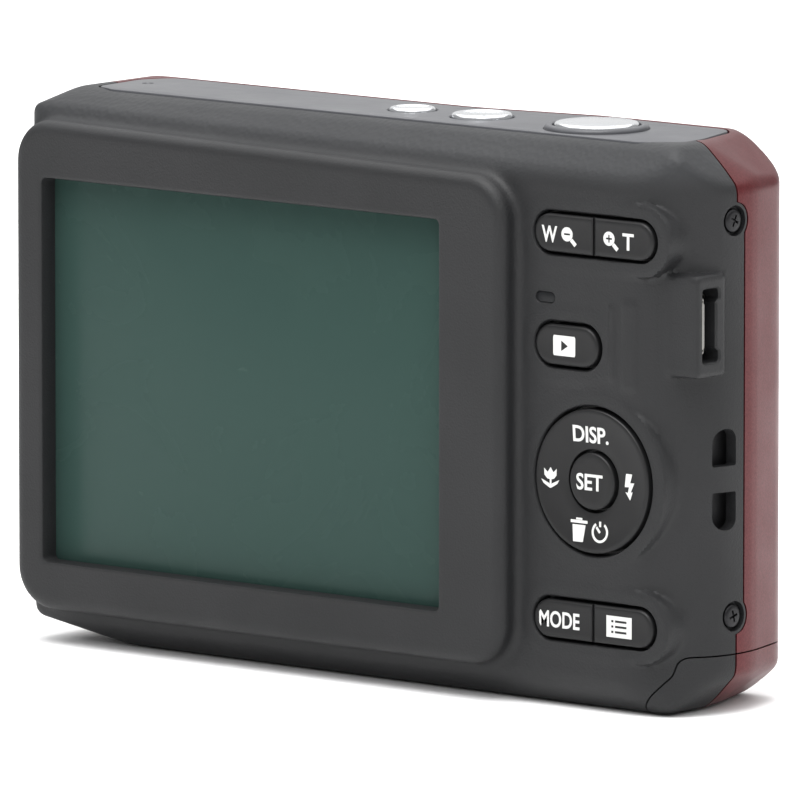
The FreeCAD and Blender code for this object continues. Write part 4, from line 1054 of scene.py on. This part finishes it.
def four_way_ring():
    """The tilting ring: a shallow dish up to a rolled rim, on a hollow foot."""
    r, hole = PAD[2], SET_R + KEY_GAP
    face = [(hole, 1.05), (hole, 0.5), (hole + 0.06, 0.38), (hole + 0.2, 0.33)] + RING_DISH
    face += [(r - 0.3, 0.0), (r - 0.12, 0.05), (r - 0.03, 0.15), (r, 0.3)]
    back = [(r, 1.92), (r + 0.6, 1.92), (r + 0.6, 2.15), (6.4, 2.15), (6.4, 1.35), (4.9, 1.35),
            (4.9, 2.15), (4.2, 2.15), (4.2, 1.05), (hole, 1.05)]
    return cutter("pad", [turned(face + back, "y", PAD[:2])])


def centre_key():
    """The round key inside the ring."""
    face = [(0, 0.06), (1.2, 0.05), (2.1, 0.02), (SET_R - 0.35, 0.0), (SET_R - 0.15, 0.05),
            (SET_R - 0.04, 0.16), (SET_R, 0.32)]
    back = [(SET_R, 1.45), (3.7, 1.45), (3.7, 1.8), (2.0, 1.8), (2.0, 2.1), (0, 2.1)]
    return cutter("set", [turned(face + back, "y", PAD[:2])])


class CAMERA_OT_keys(bpy.types.Operator):
    """The rear keys: two rockers, playback key, tilting ring and its centre key"""
    bl_idname = "camera.keys"
    bl_label = "Rear keys"

    def execute(self, context):
        edge = context.scene.camera_keys.edge / MM
        for z, body, cad_name in ((ZOOM_Z, "zoom_key", "zoom_rocker"), (MODE_Z, "mode_key", "mode_rocker")):
            key = shade(rocker(cad_name, z, edge), 35)
            settle(key, cad_name + "_cap", body, finish("key"), [cad_name])
        play = shade(cutter("play", [key_cap(pill(*PLAY), edge)]), 35)
        settle(play, "playback_cap", "playback_key", finish("key"), ["playback_button"])
        ring = shade(four_way_ring(), 30)
        settle(ring, "four_way_cap", "four_way_key", finish("key"), ["four_way_pad"])
        centre = shade(centre_key(), 30)
        settle(centre, "set_cap", "set_key", finish("key"), ["set_button"])
        light = softened("status_light", 0.12)
        settle(light, "status_lens", "camera", finish("smoke"), ["status_light"])
        return {"FINISHED"}


# ---- Printed marks -------------------------------------------------------------------------------
def words(text, x, z, width, height):
    """Plain lettering as a thin mesh, facing the user and scaled to a width and height."""
    curve = bpy.data.curves.new("words", "FONT")
    curve.body = text
    curve.align_x, curve.align_y = "CENTER", "CENTER"
    curve.offset = 0.02
    curve.resolution_u = 4
    carrier = bpy.data.objects.new("words", curve)
    bpy.context.scene.collection.objects.link(carrier)
    bpy.context.view_layer.update()
    mesh = bpy.data.meshes.new_from_object(carrier.evaluated_get(bpy.context.evaluated_depsgraph_get()))
    bpy.data.objects.remove(carrier)
    co = np.array([v.co[:2] for v in mesh.vertices])
    low, high = co.min(0), co.max(0)
    flat = (co - (low + high) / 2) / (high - low) * [width, height]
    faces = [tuple(p.vertices) for p in mesh.polygons]
    bpy.data.meshes.remove(mesh)
    return [(x - a, z + b) for a, b in flat], faces


def flat_shape(outline):
    return list(outline), [tuple(range(len(outline)))]


def band(outer, inner):
    """A flat ring between two outlines of equal count."""
    n = len(outer)
    return list(outer) + list(inner), [(i, (i + 1) % n, n + (i + 1) % n, n + i) for i in range(n)]


def bar(x0, z0, x1, z1, width):
    """A straight stroke from one point to another."""
    along = Vector((x1 - x0, z1 - z0)).normalized() * width / 2
    side = Vector((-along.y, along.x))
    a, b = Vector((x0, z0)), Vector((x1, z1))
    return flat_shape([tuple(p) for p in (a - side, b - side, b + side, a + side)])


def magnifier(x, z, plus):
    """Solid magnifying glass with its sign left out of the disc."""
    r = 0.74
    disc = circle(x, z, r, 32)
    sign = block(x - 0.42, x + 0.42, z - 0.1, z + 0.1)
    if plus:
        sign = [(x - 0.42, z - 0.1), (x - 0.1, z - 0.1), (x - 0.1, z - 0.42), (x + 0.1, z - 0.42),
                (x + 0.1, z - 0.1), (x + 0.42, z - 0.1), (x + 0.42, z + 0.1), (x + 0.1, z + 0.1),
                (x + 0.1, z + 0.42), (x - 0.1, z + 0.42), (x - 0.1, z + 0.1), (x - 0.42, z + 0.1)]
    inner = spread(sign, 32, (x, z))
    return [band(disc, inner), bar(x - 0.55, z - 0.55, x - 1.15, z - 1.1, 0.42)]


def spread(outline, count, centre):
    """The outline met by evenly turned rays from a centre, so it pairs with a circle's points."""
    out = []
    p = [Vector(q) - Vector(centre) for q in outline]
    for k in range(count):
        t = 2 * math.pi * k / count
        ray = Vector((math.cos(t), math.sin(t)))
        best = 0.0
        for a, b in zip(p, p[1:] + p[:1]):
            edge = b - a
            det = ray.x * -edge.y + ray.y * edge.x
            if abs(det) < 1e-9:
                continue
            far = (a.x * -edge.y + a.y * edge.x) / det
            along = (ray.x * a.y - ray.y * a.x) / det
            if far > 0 and -1e-6 <= along <= 1 + 1e-6:
                best = max(best, far)
        out.append((centre[0] + ray.x * best, centre[1] + ray.y * best))
    return out


def tulip(x, z):
    """Close-up flower: cup with three points, stem and two leaves."""
    cup = [(-0.78, 0.95), (-0.35, 0.55), (0.0, 1.08), (0.35, 0.55), (0.78, 0.95),
           (0.74, 0.25), (0.4, -0.12), (0.0, -0.2), (-0.4, -0.12), (-0.74, 0.25)]
    leaf = [(0.0, -1.08), (0.25, -0.98), (0.85, -0.62), (1.1, -0.2), (0.6, -0.42), (0.16, -0.62)]
    shapes = [flat_shape([(x - a, z + b) for a, b in cup]), bar(x, z - 0.15, x, z - 1.08, 0.2)]
    for side in (-1, 1):
        shapes.append(flat_shape([(x + side * a, z + b) for a, b in leaf]))
    return shapes


def bin_mark(x, z):
    """Waste bin: lid with handle over a tapered bucket."""
    bucket = [(-0.85, 0.5), (0.85, 0.5), (0.62, -1.25), (-0.62, -1.25)]
    return [flat_shape([(x - a, z + b) for a, b in bucket]),
            flat_shape(block(x - 1.1, x + 1.1, z + 0.68, z + 0.98)),
            flat_shape(block(x - 0.4, x + 0.4, z + 1.02, z + 1.22))]


def timer_mark(x, z):
    """Self-timer: a dial open at the top with a hand."""
    arc = [math.radians(t) for t in range(125, 416, 10)]
    outer = [(x + 1.1 * math.cos(t), z + 1.1 * math.sin(t)) for t in arc]
    inner = [(x + 0.84 * math.cos(t), z + 0.84 * math.sin(t)) for t in arc]
    n = len(arc)
    dial = (outer + inner, [(i, i + 1, n + i + 1, n + i) for i in range(n - 1)])
    return [dial, bar(x, z - 0.05, x + 0.5, z + 0.5, 0.26), bar(x, z + 0.55, x, z + 1.12, 0.26)]


def flash_mark(x, z):
    """Lightning arrow."""
    bolt = [(0.3, 1.35), (-0.55, 1.35), (-0.72, -0.05), (-0.14, -0.02), (-0.3, -0.62), (-0.62, -0.58),
            (0.02, -1.38), (0.36, -0.5), (0.08, -0.55), (0.58, 0.45), (0.0, 0.4)]
    return [flat_shape([(x - a, z + b) for a, b in bolt])]


def menu_mark(x, z):
    """A filled panel with three listed lines left out."""
    half_w, half_h, rows, half_line = 1.68, 1.12, (-0.56, 0.0, 0.56), 0.12
    edges = [-half_h] + [v for r in rows for v in (r - half_line, r + half_line)] + [half_h]
    shapes = []
    for low, high in zip(edges[0::2], edges[1::2]):
        shapes.append(flat_shape(block(x - half_w, x + half_w, z + low, z + high)))
    for r in rows:
        for x0, x1 in ((-half_w, -1.0), (0.55, 0.75), (1.05, half_w)):
            shapes.append(flat_shape(block(x + x0, x + x1, z + r - half_line, z + r + half_line)))
    return shapes


def play_mark(x, z):
    """A white square with a play triangle left out."""
    half_w, half_h = 1.47, 1.06
    square = rounded([(x - half_w, z - half_h), (x + half_w, z - half_h),
                      (x + half_w, z + half_h), (x - half_w, z + half_h)], [0.06] * 4, math.radians(45))
    count = 48
    centre = (x, z)
    return [band(spread(square, count, centre),
                 spread([(x + 0.42, z - 0.58), (x + 0.42, z + 0.58), (x - 0.5, z)], count, centre))]


def printed(name, shapes, depth_at, height):
    """Thin closed solid under each flat shape, following the depth of the key's face."""
    verts, faces = [], []
    for points, polys in shapes:
        base, n = len(verts), len(points)
        for lift in (height, -0.06):
            verts += [(a, GLASS_Y - depth_at(a, b) + lift, b) for a, b in points]
        uses = {}
        for poly in polys:
            faces.append(tuple(base + i for i in poly))
            faces.append(tuple(base + n + i for i in reversed(poly)))
            for i, j in zip(poly, poly[1:] + poly[:1]):
                uses[frozenset((i, j))] = None if frozenset((i, j)) in uses else (i, j)
        for pair in uses.values():
            if pair:
                i, j = pair
                faces.append((base + j, base + i, base + n + i, base + n + j))
    return outward(make_object(name, verts, faces))


def cap_depth(_x, _z):
    """The face of a key that is dished as good as evenly."""
    return KEY_DISH


def ring_depth(x, z):
    """The face of the tilting ring, which rises towards its rim."""
    radii, depths = zip(*RING_DISH, (PAD[2] - 0.3, 0.0))
    return float(np.interp(math.hypot(x - PAD[0], z - PAD[1]), radii, depths))


class CAMERA_OT_prints(bpy.types.Operator):
    """Generic letters and pictograms printed on the keys"""
    bl_idname = "camera.prints"
    bl_label = "Key prints"

    def execute(self, context):
        height = context.scene.camera_keys.print_height / MM
        sets = [
            ("zoom_print", "zoom_key", cap_depth,
             [words("W", -27.1, 49.6, 2.05, 1.75), words("T", -37.6, 49.6, 1.5, 1.75)]
             + magnifier(-29.45, 49.75, False) + magnifier(-35.05, 49.75, True)),
            ("mode_print", "mode_key", cap_depth,
             [words("MODE", -28.5, 9.3, 5.4, 1.75)] + menu_mark(-36.5, 9.3)),
            ("playback_print", "playback_key", cap_depth, play_mark(-29.1, 38.05)),
            ("set_print", "set_key", cap_depth, [words("SET", -32.5, 24.1, 3.5, 1.75)]),
            ("pad_print", "four_way_key", ring_depth,
             [words("DISP.", -32.5, 29.05, 4.7, 1.75)] + tulip(-27.15, 24.1) + flash_mark(-37.75, 24.05)
             + bin_mark(-30.95, 19.0) + timer_mark(-33.75, 18.95)),
        ]
        for name, body, depth_at, shapes in sets:
            mark = printed(name, shapes, depth_at, height)
            settle(mark, name, body, finish("print"))
        return {"FINISHED"}


# ---- Display -------------------------------------------------------------------------------------
class CAMERA_OT_display(bpy.types.Operator):
    """The display window"""
    bl_idname = "camera.display"
    bl_label = "Display window"

    def execute(self, context):
        window = softened("display_glass", 0.08)
        settle(window, "display_window", "camera", finish("display"), ["display_glass"])
        return {"FINISHED"}


# ---- Top controls --------------------------------------------------------------------------------
def plate_solid():
    """The top plate with its broken edge."""
    line = rounded(TOP_PLATE, TOP_PLATE_R)
    return loft("z", [(line, 58.1), (line, 59.32), (grown_outline(line, -0.05), 59.44),
                      (grown_outline(line, -0.18), HEIGHT)])


def button(r, top, dish):
    """Outline of a plated button: a bright rolled rim round a shallow dish, or round a low dome when
    dish is negative, on a stepped foot."""
    face = [(0, top - dish), (r * 0.3, top - dish * 0.93), (r * 0.55, top - dish * 0.7),
            (r * 0.75, top - dish * 0.35), (r - 0.5, top), (r - 0.32, top), (r - 0.15, top - 0.06),
            (r - 0.04, top - 0.18), (r, top - 0.36)]
    lip = [(r, 57.75), (r + 0.6, 57.75), (r + 0.6, 57.3), (1.2, 57.3), (1.2, 56.85), (0, 56.85)]
    return face + lip


def plate_holes(y):
    """Holes with a broken edge for the buttons and the microphone."""
    x_and_r = [(row[0], row[4]) for row in TOP_BUTTONS] + [MICROPHONE]
    holes = []
    for x, r in x_and_r:
        rim = circle(x, y, r, 96)
        flare = grown_outline(rim, 0.12)
        holes.append(loft("z", [(rim, 50), (rim, 59.36), (flare, 59.52), (flare, 70)]))
    return cutter("plate_holes", holes)


def shutter_collar(y):
    """The raised ring round the shutter button, its top edge rolled inwards and outwards."""
    profile = [(4.65, 58.1), (5.5, 58.1), (5.5, 59.62), (5.42, 59.8), (5.25, 59.93), (5.05, 60.0),
               (4.8, 59.98), (4.68, 59.9), (4.65, 59.7), (4.65, 58.1)]
    return cutter("collar", [turned(profile, "z", (SHUTTER_X, y))])


class CAMERA_OT_top(bpy.types.Operator):
    """Top plate, shutter collar and three plated buttons"""
    bl_idname = "camera.top_controls"
    bl_label = "Top controls"

    def execute(self, context):
        y = GLASS_Y - TOP_BUTTON_DEPTH
        plate = combine(cutter("plate", [plate_solid()]), plate_holes(y), "DIFFERENCE")
        settle(shade(plate, 30), "top_plate_skin", "camera", finish("plate"), ["top_plate"])
        collar = shade(shutter_collar(y), 30)
        settle(collar, "collar_skin", "camera", finish("plate"), ["shutter_collar"])
        for x, r, top, dish, _, cad_name, body in TOP_BUTTONS:
            made = shade(cutter(cad_name, [turned(button(r, top, dish), "z", (x, y))]), 30)
            settle(made, cad_name + "_cap", body, finish("chrome"), [cad_name])
        return {"FINISHED"}


# ---- Lens ----------------------------------------------------------------------------------------
# Each CAD piece whose crisp edges are rounded: its body, slot, finish and the rounding in mm
SOFT_EDGED = {
    "lens_ring": ("camera", "ring_metal", "ring", 0.12),
    "outer_barrel": ("barrel", "barrel_grey", "barrel", 0.12),
    "inner_barrel": ("lens_head", "barrel_grey", "barrel", 0.1),
    "upper_blade": ("blade_upper", "sensor_dark", "smoke", 0.04),
    "lower_blade": ("blade_lower", "sensor_dark", "smoke", 0.04),
    "flash_window": ("camera", "clear_plastic", "acrylic", 0.08),
    "af_lamp": ("camera", "lamp_red", "red_lamp", 0.1),
    "door_latch": ("latch", "chamber_black", "chamber", 0.08),
    "tripod_socket": ("camera", "brass", "brass", 0.1),
    "port_tongue": ("camera", "tongue_black", "tongue", 0.06),
}


class CAMERA_OT_lens(bpy.types.Operator):
    """Lens ring, barrels, blades and the small outer parts, their crisp edges rounded"""
    bl_idname = "camera.lens_parts"
    bl_label = "Lens and small outer parts"

    def execute(self, context):
        for name, (body, slot, look, width) in SOFT_EDGED.items():
            settle(softened(name, width), name + "_skin", body, finish(look), [name])
        return {"FINISHED"}


# ---- Port ----------------------------------------------------------------------------------------
def port_shell():
    """The folded shell and, along the mouth's rear edge, its visible strip with two spring dimples."""
    low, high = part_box("port_shell")
    d0, d1 = GLASS_Y - high.y / MM, GLASS_Y - low.y / MM
    z0, z1 = low.z / MM, high.z / MM
    outer = block(d0, d1, z0, z1, 0.3)
    inner = grown_outline(outer, -0.2)
    shell = cutter("port", [loft("x", [(outer, -41.0), (outer, -43.3), (inner, -43.3), (inner, -41.3)])])
    rear, front, tip = d0 + 0.18, d0 + 0.75, d0 + 0.89
    rim = rounded([(rear, z0 + 0.2), (front, z0 + 0.2), (front, z0 + 0.7), (tip, z0 + 0.85),
                   (tip, z1 - 0.85), (front, z1 - 0.7), (front, z1 - 0.2), (rear, z1 - 0.2)],
                  [0.06] * 8, math.radians(30))
    strip = cutter("strip", [loft("x", [(rim, -43.0), (rim, -44.72), (grown_outline(rim, -0.08), -44.8)])])
    rounds = [circle(rear + 0.28, z, 0.14, 20) for z in (z0 + 0.55, z1 - 0.55)]
    combine(strip, cutter("dimples", [loft("x", [(dot, -44.6), (dot, -45.2)]) for dot in rounds]),
            "DIFFERENCE")
    return combine(shell, strip, "UNION")


class CAMERA_OT_port(bpy.types.Operator):
    """The port's stamped shell with its two spring dimples"""
    bl_idname = "camera.port"
    bl_label = "Data port"

    def execute(self, context):
        shell = shade(port_shell(), 35)
        settle(shell, "port_shell_skin", "camera", finish("port"), ["port_shell"])
        return {"FINISHED"}


# ---- Screws, repeated from one screw -------------------------------------------------------------
def one_screw():
    """A pan-head screw, its head outermost along +Z and a cross recess in it."""
    profile = [(0, 0.4), (0.8, 0.39), (1.05, 0.35), (1.2, 0.26), (1.27, 0.12), (1.27, 0.0), (0.8, 0.0),
               (0.8, -1.5), (0.6, -1.6), (0, -1.6)]
    screw = cutter("screw", [turned(profile, "z", (0, 0), 48)])
    for half_x, half_y in ((0.8, 0.16), (0.16, 0.8)):
        top = [(-half_x, -half_y), (half_x, -half_y), (half_x, half_y), (-half_x, half_y)]
        foot = [(a * 0.72, b * 0.72) for a, b in top]
        combine(screw, cutter("cross", [loft("z", [(foot, 0.14), (top, 0.9)])]), "DIFFERENCE")
    return screw


def scatter_tree(material):
    """Node group that puts one instance on each point, turned by the point's stored rotation."""
    tree = bpy.data.node_groups.new("Screws on points", "GeometryNodeTree")
    tree.interface.new_socket("Geometry", in_out="INPUT", socket_type="NodeSocketGeometry")
    tree.interface.new_socket("Screw", in_out="INPUT", socket_type="NodeSocketObject")
    turn_spread = tree.interface.new_socket("Turn spread", in_out="INPUT", socket_type="NodeSocketFloat")
    turn_spread.default_value = 0.6
    seed = tree.interface.new_socket("Seed", in_out="INPUT", socket_type="NodeSocketInt")
    seed.default_value = 4
    tree.interface.new_socket("Geometry", in_out="OUTPUT", socket_type="NodeSocketGeometry")
    group_in = tree.nodes.new("NodeGroupInput")
    group_out = tree.nodes.new("NodeGroupOutput")
    given = node(tree, "GeometryNodeInputNamedAttribute", {"data_type": "FLOAT_VECTOR"}, {"Name": "turn"})
    info = node(tree, "GeometryNodeObjectInfo", links={"Object": group_in.outputs["Screw"]})
    low = node(tree, "ShaderNodeMath", {"operation": "MULTIPLY"}, {1: -1.0},
               {0: group_in.outputs["Turn spread"]})
    random = node(tree, "FunctionNodeRandomValue", {"data_type": "FLOAT"}, None,
                  {2: low.outputs[0], 3: group_in.outputs["Turn spread"], "Seed": group_in.outputs["Seed"]})
    about = node(tree, "ShaderNodeCombineXYZ", links={2: random.outputs[1]})
    on_points = node(tree, "GeometryNodeInstanceOnPoints",
                     links={"Points": group_in.outputs["Geometry"], "Instance": info.outputs["Geometry"],
                            "Rotation": given.outputs[0]})
    twist = node(tree, "GeometryNodeRotateInstances",
                 links={"Instances": on_points.outputs[0], "Rotation": about.outputs[0]})
    real = node(tree, "GeometryNodeRealizeInstances", links={0: twist.outputs[0]})
    coat = node(tree, "GeometryNodeSetMaterial", links={"Geometry": real.outputs[0]})
    coat.inputs["Material"].default_value = material
    tree.links.new(coat.outputs[0], group_out.inputs[0])
    return tree


class CAMERA_OT_screws(bpy.types.Operator):
    """Side and bottom screws, all instances of one screw"""
    bl_idname = "camera.screws"
    bl_label = "Screws"

    def execute(self, context):
        screw = one_screw()
        tree = scatter_tree(finish("screw"))
        side = [((-44.5, GLASS_Y - depth, z), (0.0, -math.pi / 2, 0.0)) for depth, z in SIDE_SCREWS]
        under = [((x, GLASS_Y - depth, seat + 0.6), (math.pi, 0.0, 0.0))
                 for x, depth, seat in BOTTOM_SCREWS]
        for cad_name, spots in (("side_screws", side), ("bottom_screws", under)):
            points = make_object(cad_name + "_points", [p for p, _ in spots], [])
            turn = points.data.attributes.new("turn", "FLOAT_VECTOR", "POINT")
            turn.data.foreach_set("vector", [v for _, r in spots for v in r])
            step = points.modifiers.new("scatter", "NODES")
            step.node_group = tree
            for item in tree.interface.items_tree:
                if item.in_out == "INPUT" and item.name == "Screw":
                    step[item.identifier] = screw
            bpy.context.view_layer.update()
            finished_mesh(points)
            if not points.data.polygons:
                raise RuntimeError(f"no screws were made for {cad_name}")
            settle(shade(points, 35), cad_name + "_skin", "camera", finish("screw"),
                   [cad_name])
        bpy.data.objects.remove(screw)
        return {"FINISHED"}


# ---- CAD pieces whose shape is already right -----------------------------------------------------
KEPT = {
    "display_panel": "panel", "display_frame": "sheet", "chassis_plate": "sheet", "main_board": "board",
    "card_socket": "sheet", "image_sensor": "sensor", "key_board": "board", "top_board": "board",
    "pad_pivot_ring": "chamber", "lens_housing": "barrel", "cam_ring": "barrel", "front_lens": "lens",
    "rear_lens": "lens", "zoom_motor": "pin", "zoom_gearbox": "chamber", "flash_reflector": "mirror",
    "flash_tube": "acrylic", "flash_capacitor": "sleeve", "microphone": "paper", "speaker": "paper",
    "battery_chamber": "chamber", "battery_cells": "cell", "battery_contacts": "nickel",
    "door_contact": "nickel", "door_hinge_pin": "pin",
}


class CAMERA_OT_kept(bpy.types.Operator):
    """Gives every CAD piece that is shown as it is its own finish"""
    bl_idname = "camera.kept_pieces"
    bl_label = "Inner pieces"

    def execute(self, context):
        for name, look in KEPT.items():
            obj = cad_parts[name]
            while len(obj.material_slots) > 1:
                obj.data.materials.pop()
            if obj.material_slots:
                obj.material_slots[0].material = finish(look)
            else:
                obj.data.materials.append(finish(look))
        return {"FINISHED"}


# ---- Stage ---------------------------------------------------------------------------------------
def panel_light(name, at, aim, size, power):
    """A soft rectangular light, itself out of the picture."""
    lamp = bpy.data.lights.new(name, "AREA")
    lamp.shape = "RECTANGLE"
    lamp.size, lamp.size_y = size
    lamp.energy = power
    obj = bpy.data.objects.new(name, lamp)
    obj.location = at
    obj.rotation_euler = (Vector(aim) - Vector(at)).to_track_quat("-Z", "Y").to_euler()
    obj.visible_camera = False
    bpy.context.scene.collection.objects.link(obj)
    return obj


def white_floor():
    """A wide matte floor a hair under the camera's feet."""
    reach, drop = 4000, -0.02
    corners = [(-reach, -reach, drop), (reach, -reach, drop), (reach, reach, drop), (-reach, reach, drop)]
    floor = make_object("floor", corners, [(0, 1, 2, 3)])
    material, tree, shader = new_material("Painted board, white")
    coords = node(tree, "ShaderNodeTexCoord").outputs["Object"]
    mottle = node(tree, "ShaderNodeTexNoise", values={"Scale": per_mm(60.0)}, links={"Vector": coords})
    tint = node(tree, "ShaderNodeMix", {"data_type": "RGBA"}, {6: srgb("#fbfbfb"), 7: srgb("#fefefe")},
                {0: mottle.outputs[0]})
    tree.links.new(tint.outputs[2], shader.inputs["Base Color"])
    shader.inputs["Roughness"].default_value = 0.9
    shader.inputs["Specular IOR Level"].default_value = 0.1
    return dress(floor, material)


def surround(strength):
    """Even white light from everywhere."""
    world = bpy.data.worlds.new("Surround")
    world.use_nodes = True
    back = world.node_tree.nodes["Background"]
    back.inputs[0].default_value = (1.0, 1.0, 1.0, 1.0)
    back.inputs[1].default_value = strength
    return world


def view(settings):
    """A long lens from the rear on the grip's side."""
    lens = bpy.data.cameras.new("view")
    lens.lens = settings.lens
    lens.sensor_width = 36.0
    lens.clip_start, lens.clip_end = 0.05, 50.0
    eye = bpy.data.objects.new("view", lens)
    eye.location = settings.eye
    aim = Vector(settings.target) - Vector(settings.eye)
    eye.rotation_euler = aim.to_track_quat("-Z", "Y").to_euler()
    bpy.context.scene.collection.objects.link(eye)
    return eye


# Each soft light: where it hangs, what it aims at, its width and height in metres, and its watts
LIGHTS = {
    "top_panel": ((0.0, 0.0, 1.6), (0, 0, 0), (5.0, 5.0), 104.0),
    "crown_panel": ((-0.1, 0.3, 1.1), (0, 0, 0.05), (0.8, 0.8), 11.0),
    "back_panel": ((0.9, -1.2, 0.55), (0, 0, 0.05), (1.8, 0.9), 2.5),
}


class CAMERA_OT_stage(bpy.types.Operator):
    """Pale floor, white surround, soft lights and the camera"""
    bl_idname = "camera.stage"
    bl_label = "Stage"

    def execute(self, context):
        scene = context.scene
        settings = scene.camera_stage
        white_floor()
        scene.world = surround(settings.world)
        [panel_light(name, *row) for name, row in LIGHTS.items()]
        scene.view_settings.view_transform = "Standard"
        scene.camera = view(settings)
        return {"FINISHED"}


# ---- Sidebar -------------------------------------------------------------------------------------
OPERATORS = (CAMERA_OT_covers, CAMERA_OT_display, CAMERA_OT_keys, CAMERA_OT_prints, CAMERA_OT_top,
             CAMERA_OT_lens, CAMERA_OT_port, CAMERA_OT_screws, CAMERA_OT_kept, CAMERA_OT_stage)
SETTINGS = (("camera_covers", CoverSettings), ("camera_keys", KeySettings),
            ("camera_finishes", FinishSettings), ("camera_stage", StageSettings))


class CAMERA_PT_looks(bpy.types.Panel):
    """Lists the pieces' operators and their settings"""
    bl_label = "Camera Looks"
    bl_idname = "CAMERA_PT_looks"
    bl_space_type = "VIEW_3D"
    bl_region_type = "UI"
    bl_category = "Camera"

    def draw(self, context):
        for attribute, kind in SETTINGS:
            group = getattr(context.scene, attribute)
            for name in kind.__annotations__:
                self.layout.prop(group, name)
        for operator in OPERATORS:
            self.layout.operator(operator.bl_idname, text=operator.bl_label)


CLASSES = tuple(kind for _, kind in SETTINGS) + OPERATORS + (CAMERA_PT_looks,)


def register():
    for kind in CLASSES:
        bpy.utils.register_class(kind)
    for attribute, kind in SETTINGS:
        setattr(bpy.types.Scene, attribute, bpy.props.PointerProperty(type=kind))


def unregister():
    for attribute, _ in SETTINGS:
        delattr(bpy.types.Scene, attribute)
    for kind in reversed(CLASSES):
        bpy.utils.unregister_class(kind)


def main():
    register()
    for operator in OPERATORS:
        group, name = operator.bl_idname.split(".")
        if getattr(getattr(bpy.ops, group), name)() != {"FINISHED"}:
            raise RuntimeError(f"{operator.bl_label} did not finish")


if __name__ == "__main__":
    main()
